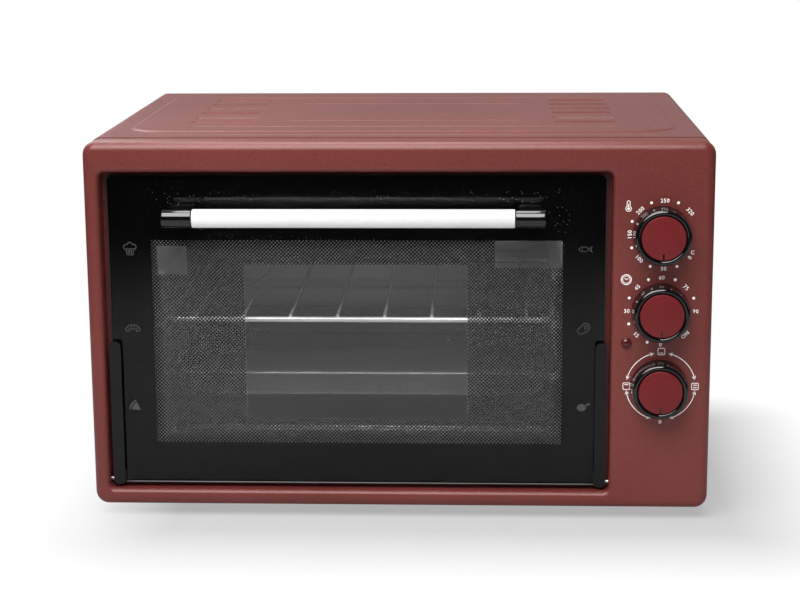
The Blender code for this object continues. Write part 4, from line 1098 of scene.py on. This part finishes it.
def printed(name, finish, shapes, y, thickness):
    """Flat shapes as one thin layer that faces the front, from y back to y plus its thickness."""
    bm = bmesh.new()
    for shape in shapes:
        front = [bm.verts.new((x, y, z)) for x, z in shape]
        back = [bm.verts.new((x, y + thickness, z)) for x, z in shape]
        bm.faces.new(front)
        bm.faces.new(back[::-1])
        for i in range(len(shape)):
            j = (i + 1) % len(shape)
            bm.faces.new((front[i], back[i], back[j], front[j]))
    return new_piece(name, bm, [finish])


def scaled(shapes, x, z, size):
    """Shapes drawn in a unit square, at a place and a size."""
    return [[(x + u * size, z + v * size) for u, v in shape] for shape in shapes]


def cake_icon():
    """A muffin: a lobed crown over a ribbed cup."""
    crown = bow(-0.26, 0.12, 0.20, -150, 20, 8) + bow(0.0, 0.26, 0.20, -60, 60, 8)
    crown += bow(0.26, 0.12, 0.20, -20, 150, 8)
    shapes = ribbon(crown, 0.055)
    shapes += ribbon([(-0.30, -0.02), (-0.22, -0.46), (0.22, -0.46), (0.30, -0.02), (-0.30, -0.02)], 0.055)
    for u in (-0.12, 0.0, 0.12):
        shapes += ribbon([(u * 1.1, -0.10), (u * 0.9, -0.38)], 0.05)
    return shapes


def pastry_icon():
    """A crescent roll with cross bands."""
    outer = bow(0.0, -0.18, 0.52, -100, 100, 18, 0.72)
    inner = bow(0.0, -0.30, 0.30, 95, -95, 14, 0.62)
    shapes = ribbon(outer + inner, 0.055, True)
    for angle in (-50, -16, 16, 50):
        inside = bow(0, -0.30, 0.30, angle, angle, 1, 0.62)[0]
        outside = bow(0, -0.18, 0.52, angle, angle, 1, 0.72)[0]
        shapes += ribbon([inside, outside], 0.045)
    return shapes


def pizza_icon():
    """A slice with its crust and three toppings."""
    crust = bow(0.38, -0.42, 0.80, -86, -24, 10)
    shapes = ribbon(crust, 0.11)
    inner = bow(0.38, -0.42, 0.66, -86, -24, 10)
    shapes += [inner[::-1] + [(0.38, -0.42)]]
    return shapes


def fish_icon():
    body = bow(-0.08, -0.32, 0.50, -48, 48, 10)
    belly = bow(-0.08, 0.32, 0.50, 132, 228, 10)
    shapes = ribbon(body, 0.045) + ribbon(belly, 0.045)
    shapes += ribbon([(0.28, 0.02), (0.50, 0.20), (0.44, 0.0), (0.50, -0.20), (0.28, -0.02)], 0.045)
    shapes += ribbon(bow(-0.42, 0.0, 0.22, 50, 130, 6), 0.035)
    return shapes


def meat_icon():
    """A steak: a lobed outline with an eye of bone."""
    outline = bow(0.12, 0.10, 0.30, -60, 150, 14) + bow(-0.22, -0.16, 0.24, 150, 330, 12)
    shapes = ribbon(outline, 0.06, True)
    shapes += ribbon(bow(0.14, 0.10, 0.12, 0, 360, 12), 0.05)
    return shapes


def chicken_icon():
    """A roast bird: a round body with a leg."""
    body = bow(-0.12, -0.06, 0.34, 0, 360, 24, 0.80)[:-1]
    shapes = [body]
    shapes += ribbon([(0.10, 0.02), (0.36, 0.20)], 0.12)
    shapes += disc(0.40, 0.26, 0.07, 12) + disc(0.46, 0.18, 0.07, 12)
    return shapes


# Door


def make_glass():
    """The pane with ground edges, the print behind it and the small food pictures in the print."""
    left, right = glass_low.x, glass_high.x
    bottom, top = glass_low.z, glass_high.z
    front, back = glass_low.y, glass_high.y

    def outline(inset):
        x0, x1, z0, z1 = left + inset, right - inset, bottom + inset, top - inset
        nx, nz = notch_width, notch_height
        return [
            (x0 + nx, z0), (x1 - nx, z0), (x1 - nx, z0 + nz), (x1, z0 + nz), (x1, z1 - glass_chamfer),
            (x1 - glass_chamfer, z1), (x0 + glass_chamfer, z1), (x0, z1 - glass_chamfer), (x0, z0 + nz),
            (x0 + nx, z0 + nz),
        ]

    bm = bmesh.new()
    pane_back = back - print_gap
    edge = 0.0005
    rows = loft(
        bm,
        [
            at_depth(outline(edge), front),
            at_depth(outline(0), front + edge),
            at_depth(outline(0), pane_back - edge),
            at_depth(outline(edge), pane_back),
        ],
    )
    faces = [bm.faces.new(rows[0][::-1]), bm.faces.new(rows[-1])]
    for face in bm.faces:
        face.material_index = 0 if face in faces else 1
    pane = new_piece("door_pane", bm, ["glass", "glass_edge"], 20)
    for side in ("left", "right"):
        place = centre(f"handle_screw_{side}")
        hole = turned(
            "handle_hole", [], ((0, -0.01), (0.0024, -0.01), (0.0024, 0.01), (0, 0.01)), "front",
            (place.x, (front + back) / 2, place.z), 32
        )
        cut(pane, hole)
    seat(pane, "door", "glass", "door_glass")
    sheet_front = back - print_gap / 2
    bm = bmesh.new()
    inset = print_margin
    loft(
        bm, [at_depth(outline(inset), sheet_front), at_depth(outline(inset), sheet_front + print_gap / 4)],
        cap_first=True, cap_last=True
    )
    sheet = new_piece("door_print_layer", bm, ["print"])
    seat(sheet, "door", "glass")
    icons = (
        (left_icons_x, (cake_icon(), pastry_icon(), pizza_icon())),
        (right_icons_x, (fish_icon(), meat_icon(), chicken_icon())),
    )
    shapes = []
    for x, drawings in icons:
        for drawing, z in zip(drawings, icon_levels):
            shapes += scaled(drawing, x, z, icon_size)
    pictures = printed("door_food_pictures", "icon", shapes, sheet_front - print_gap / 3, print_gap / 5)
    seat(pictures, "door", "glass")


def make_door_metal():
    for side in ("left", "right"):
        node = f"door_bracket_{side}"
        bracket = refined(f"{node}_moulding", node, "hinge_black", 0.0006, 3, 25)
        seat(bracket, "door", "matt_black", f"door_bracket_{side}")
        stay = refined(f"door_stay_{side}_strap", f"door_stay_{side}", "zinc", 0.0003, 2, 25)
        seat(stay, "door", "zinc", f"door_stay_{side}")
        pin = refined(f"hinge_pin_{side}_turned", f"hinge_pin_{side}", "zinc", 0.0002, 2, 40)
        seat(pin, "case", "zinc", f"hinge_pin_{side}")
        screw_head(f"handle_screw_{side}_head", f"handle_screw_{side}", "zinc", 0.0045, "door", "zinc")


def make_handle():
    """A lacquered tube with rolled ends between two glossy elbows that reach back to the glass."""
    bar_low, bar_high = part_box("handle_bar")
    place = (bar_low + bar_high) / 2
    half = (bar_high.x - bar_low.x) / 2
    radius = handle_radius
    profile = [(0, half), (radius - 0.0006, half)]
    profile += arc(radius - 0.0005, half - 0.0005, 0.0005, 90, 0, 4)
    profile += [(r, -h) for r, h in reversed(profile)]
    bar = turned("handle_tube", ["white_lacquer"], profile, "right", place, 96)
    seat(bar, "door", "white_lacquer", "handle_bar")
    for side, sign in (("left", -1), ("right", 1)):
        node = f"handle_post_{side}"
        near = place.x + sign * (half + seat_gap)
        far = low(node).x if sign < 0 else high(node).x
        length = abs(far - near)
        profile = [(0, length), (radius - post_end_edge, length)]
        profile += arc(radius - post_end_edge, length - post_end_edge, post_end_edge, 90, 0, 6)
        profile += [(radius, 0.0006), (radius - 0.0006, 0), (0, 0)]
        axis = "left" if sign < 0 else "right"
        stub = turned(f"{node}_stub", ["gloss_black"], profile, axis, (near, place.y, place.z), 96)
        bm = bmesh.new()
        x0, x1 = sorted((near + sign * 0.0032, far - sign * 0.0032))
        stem = []
        back = glass_low.y - seat_gap
        stations = [(place.y, -0.0006), (place.y + 0.006, 0.0), (back - 0.0030, 0.0)]
        stations += [(back - 0.0012, 0.0004), (back, 0.0012)]
        for y, grow in stations:
            half_stem = stem_half_height + grow
            outline = rounded(x0 - grow, x1 + grow, place.z - half_stem, place.z + half_stem, 0.0030, 6)
            stem.append(at_depth(outline, y))
        loft(bm, stem, cap_first=True, cap_last=True)
        leg = new_piece(f"{node}_leg", bm, ["gloss_black"])
        step = stub.modifiers.new("leg", "BOOLEAN")
        step.operation = "UNION"
        step.solver = "EXACT"
        step.object = leg
        applied(stub)
        bpy.data.objects.remove(leg, do_unlink=True)
        stub.data.shade_smooth()
        stub.data.set_sharp_from_angle(angle=math.radians(40))
        stub.name = f"{node}_elbow"
        seat(stub, "door", "black_plastic", node)


# Controls


def knob_profile(base, front, rim):
    """From the middle of the recess over the round rim, down the flared skirt and back inside."""
    profile = [(0, front - knob_recess), (cap_radius + 0.0003, front - knob_recess)]
    crown = (rim - cap_radius - 0.0003) / 2
    middle = rim - crown
    for k in range(17):
        angle = math.radians(180 - k * 11)
        profile.append((middle + crown * math.cos(angle), front - 0.0024 + 0.0024 * math.sin(angle)))
    skirt = base - rim
    for share in (0.25, 0.5, 0.75, 0.9):
        profile.append((rim + skirt * share, (front - 0.0024) * (1 - share) + 0.0022 * share))
    profile += arc(base - 0.0008, 0.0015, 0.0008, 0, -90, 5)
    profile += [(base - 0.0026, 0.0007), (rim - 0.0030, front - 0.0052), (0.0065, front - 0.0052)]
    profile += [(0.0065, 0.0037), (0.0033, 0.0037), (0.0033, 0.0130), (0, 0.0130)]
    return profile


def make_knobs():
    for name in controls:
        node = f"{name}_knob"
        place = centre(node)
        base = (high(node).x - low(node).x) / 2
        front = face_y - low(node).y
        rim = base - 0.0013
        spot = (place.x, face_y, place.z)
        profile = knob_profile(base, front, rim)
        knob = turned(f"{name}_knob_moulding", ["gloss_black"], profile, "front", spot, 96, 30)
        seat(knob, f"{name}_control", "black_plastic", node)
        cap_front = face_y - low(f"{name}_cap").y
        edge = 0.0005
        profile = [(0, cap_front)]
        profile += arc(cap_radius - edge, cap_front - edge, edge, 90, 0, 4)
        profile += [(cap_radius, cap_front - 0.0024), (0, cap_front - 0.0024)]
        cap = turned(f"{name}_cap_disc", ["red_cap"], profile, "front", spot, 96, 30)
        notch = block(
            "pointer", [], (place.x - 0.0008, face_y - cap_front - 0.001, place.z - cap_radius - 0.001),
            (place.x + 0.0008, face_y - cap_front + 0.0008, place.z - cap_radius + 0.0052)
        )
        cut(cap, notch)
        cap.data.shade_smooth()
        cap.data.set_sharp_from_angle(angle=math.radians(30))
        # A black fill in the floor of the pointer notch: painted shade standing in for the shade inside the
        # notch.
        ink = block(
            f"{name}_pointer_notch_shade", ["gloss_black"],
            (place.x - 0.0007, face_y - cap_front + 0.0003, place.z - cap_radius + 0.0004),
            (place.x + 0.0007, face_y - cap_front + 0.0007, place.z - cap_radius + 0.0050)
        )
        seat(cap, f"{name}_control", "red_cap", f"{name}_cap")
        seat(ink, f"{name}_control", "red_cap")
        shaft = refined(f"{name}_spindle", f"{name}_shaft", "zinc", 0.0002, 2, 40)
        seat(shaft, f"{name}_control", "zinc", f"{name}_shaft")
        housing = refined(f"{name}_housing", f"{name}_body", "cream", 0.0004, 2, 30)
        seat(housing, "case", "switch_plastic", f"{name}_body")


def on_circle(knob, angle, radius=mark_circle):
    """The place on a knob's mark circle at an angle clockwise from the top, in degrees."""
    x, z = knob
    return (x + radius * math.sin(math.radians(angle)), z + radius * math.cos(math.radians(angle)))


def dial(knob, marks, dots, upright=()):
    """Numbers and dots round a knob. Those in the lower half are turned to read from inside."""
    shapes = []
    for text, angle in marks:
        x, z = on_circle(knob, angle)
        turn = angle if abs(angle) <= 91 else angle - 180 if angle > 0 else angle + 180
        shapes += lettering(text, x, z, digit_height, 0 if text in upright else turn)
    for angle in dots:
        shapes += disc(*on_circle(knob, angle, mark_circle + 0.0003), 0.0012)
    return shapes


def thermometer(x, z):
    """A bulb and stem outline with a filled bulb."""
    outline = bow(x, z + 0.0030, 0.0012, -90, 90, 8)
    outline += bow(x, z - 0.0022, 0.0022, 34, 326, 16)
    return ribbon(outline, 0.00055, True) + disc(x, z - 0.0022, 0.0011) + ribbon(
        [(x, z - 0.002), (x, z + 0.0018)], 0.0006
    )


def clock(x, z):
    shapes = ribbon(bow(x, z, 0.0041, 0, 360, 32)[:-1], 0.0007, True)
    shapes += ribbon(bow(x, z, 0.0030, 0, 360, 24)[:-1], 0.00045, True)
    shapes += ribbon([(x - 0.0014, z + 0.0014), (x, z), (x + 0.0017, z + 0.0010)], 0.0006)
    return shapes


def oven_box(x, z, bars):
    """A rounded square with a bar at its top, its bottom or both."""
    half = 0.0028
    shapes = ribbon(rounded(x - half, x + half, z - half, z + half, 0.0009, 3), 0.00055, True)
    for level in bars:
        shapes += ribbon([(x - 0.0016, z + level), (x + 0.0016, z + level)], 0.00065)
    return shapes


def arrow_arc(knob, first, last):
    """An arc with an arrow head at both ends."""
    circle = mark_circle + 0.0004
    shapes = ribbon(bow(*knob, circle, first, last, 24), 0.00062)
    for angle, way in ((first, 1), (last, -1)):
        tip = on_circle(knob, angle - way * 1.5, circle)
        back = [on_circle(knob, angle + way * 6.0, circle + spread_out) for spread_out in (-0.0017, 0.0017)]
        inner = on_circle(knob, angle + way * 4.0, circle)
        shapes.append([tip, back[0], inner])
        shapes.append([tip, inner, back[1]])
    return shapes


def make_marks():
    knobs = {}
    for name in controls:
        place = centre(f"{name}_shaft")
        knobs[name] = (place.x + dial_shifts[name][0], place.z + dial_shifts[name][1])
    x, z = knobs["thermostat"]
    shapes = dial(
        knobs["thermostat"],
        (("250", 0), ("320", 47), ("0", 132), ("50", 180), ("100", -135), ("150", -90), ("200", -45)),
        (-22.5, 22.5, -67.5, -112.5, 157.5, -157.5),
    )
    shapes += lettering("C", x + 0.0235, z - 0.0146, digit_height)
    shapes += thermometer(x - 0.0295, z + 0.0238)
    seat(printed("thermostat_marks", "mark", shapes, face_y - mark_proud, mark_proud), "case", "red_paint")
    x, z = knobs["timer"]
    shapes = dial(
        knobs["timer"],
        (("60", 0), ("75", 45), ("90", 90), ("ON", 135), ("0", 180), ("15", -135), ("30", -90), ("45", -45)),
        (-22.5, 22.5, 67.5, -67.5, -112.5, -157.5),
        ("90", "30"),
    )
    shapes += clock(x - 0.0291, z + 0.0264)
    seat(printed("timer_marks", "mark", shapes, face_y - mark_proud, mark_proud), "case", "red_paint")
    knob = knobs["selector"]
    x, z = knob
    shapes = oven_box(x - 0.0284, z, (0.0013,))
    shapes += oven_box(x, z + 0.0298, (-0.0013,))
    shapes += oven_box(x + 0.0284, z, (0.0011, -0.0011))
    shapes += lettering("0", x + 0.0001, z - 0.0305, digit_height)
    for first, last in ((-78, -13), (13, 78), (98, 163), (-163, -98)):
        shapes += arrow_arc(knob, first, last)
    seat(printed("selector_marks", "mark", shapes, face_y - mark_proud, mark_proud), "case", "red_paint")


def make_lamp():
    node = "pilot_lamp"
    place = centre(node)
    front = face_y - low(node).y
    flange = (high(node).x - low(node).x) / 2
    profile = [(0, front)]
    for share in (0.2, 0.4, 0.6, 0.8, 0.95):
        profile.append((0.0036 * share, 0.0012 + (front - 0.0012) * math.sqrt(1 - share * share)))
    profile += [(0.0037, 0.0013)]
    profile += arc(flange - 0.0004, 0.0009, 0.0004, 90, 0, 4)
    profile += [(flange, 0.0003), (0.0037, 0.0003), (0.0037, -0.024), (0, -0.024)]
    lamp = turned("pilot_lamp_lens", ["lens"], profile, "front", (place.x, face_y, place.z), 48, 30)
    seat(lamp, "case", "red_lens", node)


# Shelf, tray and inner pieces


def make_rack():
    """A round-cornered rail with rods whose ends turn down onto it."""
    rack_low, rack_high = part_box("wire_rack")
    z = rack_low.z + rail_radius
    left, right = rack_low.x + rail_radius, rack_high.x - rail_radius
    front, back = rack_low.y + rail_radius, rack_high.y - rail_radius
    rail = [(x, y, z) for x, y in rounded(left, right, front, back, rack_corner, 10)]
    pieces = [wire("rack_rail", "chrome", rail, rail_radius, True)]
    rod_z = rack_high.z - rod_radius
    pitch = (right - left - 2 * rod_inset) / (rod_count - 1)
    for i in range(rod_count):
        x = left + rod_inset + i * pitch
        near = x + rod_lean
        points = [(near - rod_lean * k / 12, front + (back - front) * k / 12, rod_z) for k in range(13)]
        points = [(near, front - 0.0012, rod_z - 0.0003)] + points + [(x, back + 0.0012, rod_z - 0.0003)]
        pieces.append(wire(f"rack_rod_{i}", "chrome", points, rod_radius))
    seat(joined("wire_shelf", pieces), "rack", "chrome", "wire_rack")


def make_tray():
    """A pressed tray with a beaded rim, round corners and a soft bend between its walls and its floor."""
    tray_low, tray_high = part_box("baking_tray")
    left, right = tray_low.x, tray_high.x
    front, back = tray_low.y, tray_high.y
    top = tray_high.z
    steps = [(0, 0.0018), (0, 0.0010), (0.0003, 0.0003), (0.0010, 0)]
    steps += [(tray_rim - 0.0015, 0)]
    steps += [(tray_rim - 0.0015 + 0.0015 * math.sin(a), 0.0015 * (1 - math.cos(a))) for a in (0.4, 0.8, 1.2)]
    steps += [(tray_rim + 0.0040, tray_depth * 0.75)]
    bend = 0.006
    for a in (0.3, 0.6, 0.9, 1.2, 1.5):
        steps.append((tray_rim + 0.0046 + bend * (1 - math.cos(a)), tray_depth - bend + bend * math.sin(a)))
    sections = []
    for inset, drop in steps:
        outline = rounded(left + inset, right - inset, front + inset, back - inset, tray_corner)
        sections.append([(x, y, top - drop) for x, y in outline])
    bm = bmesh.new()
    loft(bm, sections, cap_last=True)
    tray = sheet_piece("baking_tray_pressing", bm, ["enamel"], Vector((0, 0, 1)), tray_sheet * 0.8)
    seat(tray, "tray", "black_enamel", "baking_tray")


def make_inner_pieces():
    bulb = refined("thermostat_bulb_copper", "thermostat_bulb", "copper", 0.0, 2, 40)
    seat(bulb, "case", "copper", "thermostat_bulb")
    terminals = refined("terminal_block_moulding", "terminal_block", "cream", 0.0004, 2, 30)
    seat(terminals, "case", "switch_plastic", "terminal_block")


# Studio


def make_floor():
    """A wide pale floor. For the camera it is darker near the oven, a painted shadow, and turns plain white
    further out; in reflections it is darker too, a painted reflection that fades to near black far off.
    """
    bm = bmesh.new()
    bmesh.ops.create_grid(bm, x_segments=1, y_segments=1, size=30)
    mesh = bpy.data.meshes.new("studio_floor")
    bm.to_mesh(mesh)
    bm.free()
    floor = bpy.data.objects.new("studio_floor", mesh)
    scene.collection.objects.link(floor)
    made = bpy.data.materials.new("pale_floor")
    made.use_nodes = True
    nodes = Nodes(made.node_tree)
    shader = made.node_tree.nodes["Principled BSDF"]
    shader.inputs["Roughness"].default_value = 0.9
    shader.inputs["Specular IOR Level"].default_value = 0.1
    place = nodes.add("ShaderNodeTexCoord").outputs["Object"]
    split = nodes.add("ShaderNodeSeparateXYZ")
    nodes.join(place, split.inputs[0])
    from_x = nodes.math("ABSOLUTE", nodes.math("SUBTRACT", split.outputs["X"], shadow_middle[0]))
    from_y = nodes.math("ABSOLUTE", nodes.math("SUBTRACT", split.outputs["Y"], shadow_middle[1]))
    beyond_x = nodes.math("SUBTRACT", from_x, shadow_reach[0])
    beyond_y = nodes.math("SUBTRACT", from_y, shadow_reach[1])
    reach = nodes.add("ShaderNodeCombineXYZ")
    nodes.join(nodes.math("MAXIMUM", beyond_x, 0.0), reach.inputs["X"])
    nodes.join(nodes.math("MAXIMUM", beyond_y, 0.0), reach.inputs["Y"])
    length = nodes.add("ShaderNodeVectorMath", operation="LENGTH")
    nodes.join(reach.outputs[0], length.inputs[0])
    distance = length.outputs["Value"]
    path = nodes.add("ShaderNodeLightPath")
    # Painted shadow: the camera sees the floor at half its tone, so it looks shaded round the oven.
    tone = nodes.mix(path.outputs["Is Camera Ray"], grey(floor_tone), grey(painted_shadow_floor_tone))
    # Painted reflection: glossy rays see the floor darker, fading to near black far off.
    painted_reflection_tone = nodes.mix(nodes.ramp(distance, *painted_reflection_fade), grey(painted_reflection_floor_tone), grey(0.02))
    nodes.join(nodes.mix(path.outputs["Is Glossy Ray"], tone, painted_reflection_tone), shader.inputs["Base Color"])
    white = nodes.add("ShaderNodeEmission")
    white.inputs["Color"].default_value = (1, 1, 1, 1)
    blend = nodes.add("ShaderNodeMixShader")
    # Near the oven the camera keeps most of the painted shadow; further out the floor turns plain white.
    far = nodes.ramp(distance, floor_fade[0], floor_fade[1], floor_fade[2], 1.0)
    nodes.join(nodes.math("MULTIPLY", far, path.outputs["Is Camera Ray"]), blend.inputs[0])
    nodes.join(shader.outputs[0], blend.inputs[1])
    nodes.join(white.outputs[0], blend.inputs[2])
    output = made.node_tree.nodes["Material Output"]
    nodes.join(blend.outputs[0], output.inputs["Surface"])
    mesh.materials.append(made)


def make_world():
    """White for the camera. For everything else a pale wall behind the oven and a dim room in front of it."""
    world = bpy.data.worlds.new("studio")
    scene.world = world
    world.use_nodes = True
    nodes = Nodes(world.node_tree)
    seen = nodes.add("ShaderNodeLightPath").outputs["Is Camera Ray"]
    split = nodes.add("ShaderNodeSeparateXYZ")
    nodes.join(nodes.add("ShaderNodeTexCoord").outputs["Generated"], split.inputs[0])
    level = nodes.ramp(split.outputs["Y"], -0.3, 0.5, room_front, room_back)
    back = world.node_tree.nodes["Background"]
    back.inputs["Color"].default_value = (1, 1, 1, 1)
    nodes.join(nodes.math("MAXIMUM", level, seen), back.inputs["Strength"])


def area_light(name, place, target, size, power):
    light = bpy.data.lights.new(name, "AREA")
    light.shape = "RECTANGLE"
    light.size = size[0]
    light.size_y = size[1]
    light.energy = power
    lamp = bpy.data.objects.new(name, light)
    lamp.location = place
    lamp.rotation_euler = (Vector(target) - Vector(place)).to_track_quat("-Z", "Y").to_euler()
    lamp.visible_camera = False
    scene.collection.objects.link(lamp)
    return lamp


def make_lights():
    area_light("main_softbox", (-0.30, -1.10, 1.57), (0, -0.05, 0.2), (1.7, 1.3), 52)
    area_light("rear_left_softbox", (-0.9, 1.0, 1.3), (0, 0, 0.2), (1.0, 0.9), 9)
    area_light("overhead_softbox", (-0.1, 0.15, 1.5), (0, 0.15, 0.3), (0.9, 0.7), 12)
    fill = area_light("front_fill", (0.2, -2.3, 0.30), (0, 0, 0.10), (1.6, 0.7), 5)
    fill.visible_glossy = False


def make_camera():
    """The photograph's camera: its place, its turn and its lens."""
    camera = bpy.data.cameras.new("photo_camera")
    camera.lens = camera_lens
    camera.sensor_width = 36
    camera.clip_start = 0.05
    camera.clip_end = 100
    eye = bpy.data.objects.new("photo_camera", camera)
    forward = Vector((
        -math.sin(camera_yaw) * math.cos(camera_pitch),
        math.cos(camera_yaw) * math.cos(camera_pitch),
        -math.sin(camera_pitch),
    ))
    level = Vector((math.cos(camera_yaw), math.sin(camera_yaw), 0))
    upward = level.cross(forward)
    across = math.cos(camera_roll) * level + math.sin(camera_roll) * upward
    upright = math.cos(camera_roll) * upward - math.sin(camera_roll) * level
    turn = Matrix((across, upright, -forward)).transposed().to_4x4()
    eye.matrix_world = Matrix.Translation(camera_place) @ turn
    scene.collection.objects.link(eye)
    scene.camera = eye


make_camera()
make_front_frame()
make_outer_wrapper()
make_feet()
make_back()
make_cavity()
make_glass()
make_door_metal()
make_handle()
make_knobs()
make_marks()
make_lamp()
make_rack()
make_tray()
make_inner_pieces()
make_floor()
make_world()
make_lights()
scene.view_settings.view_transform = "Standard"
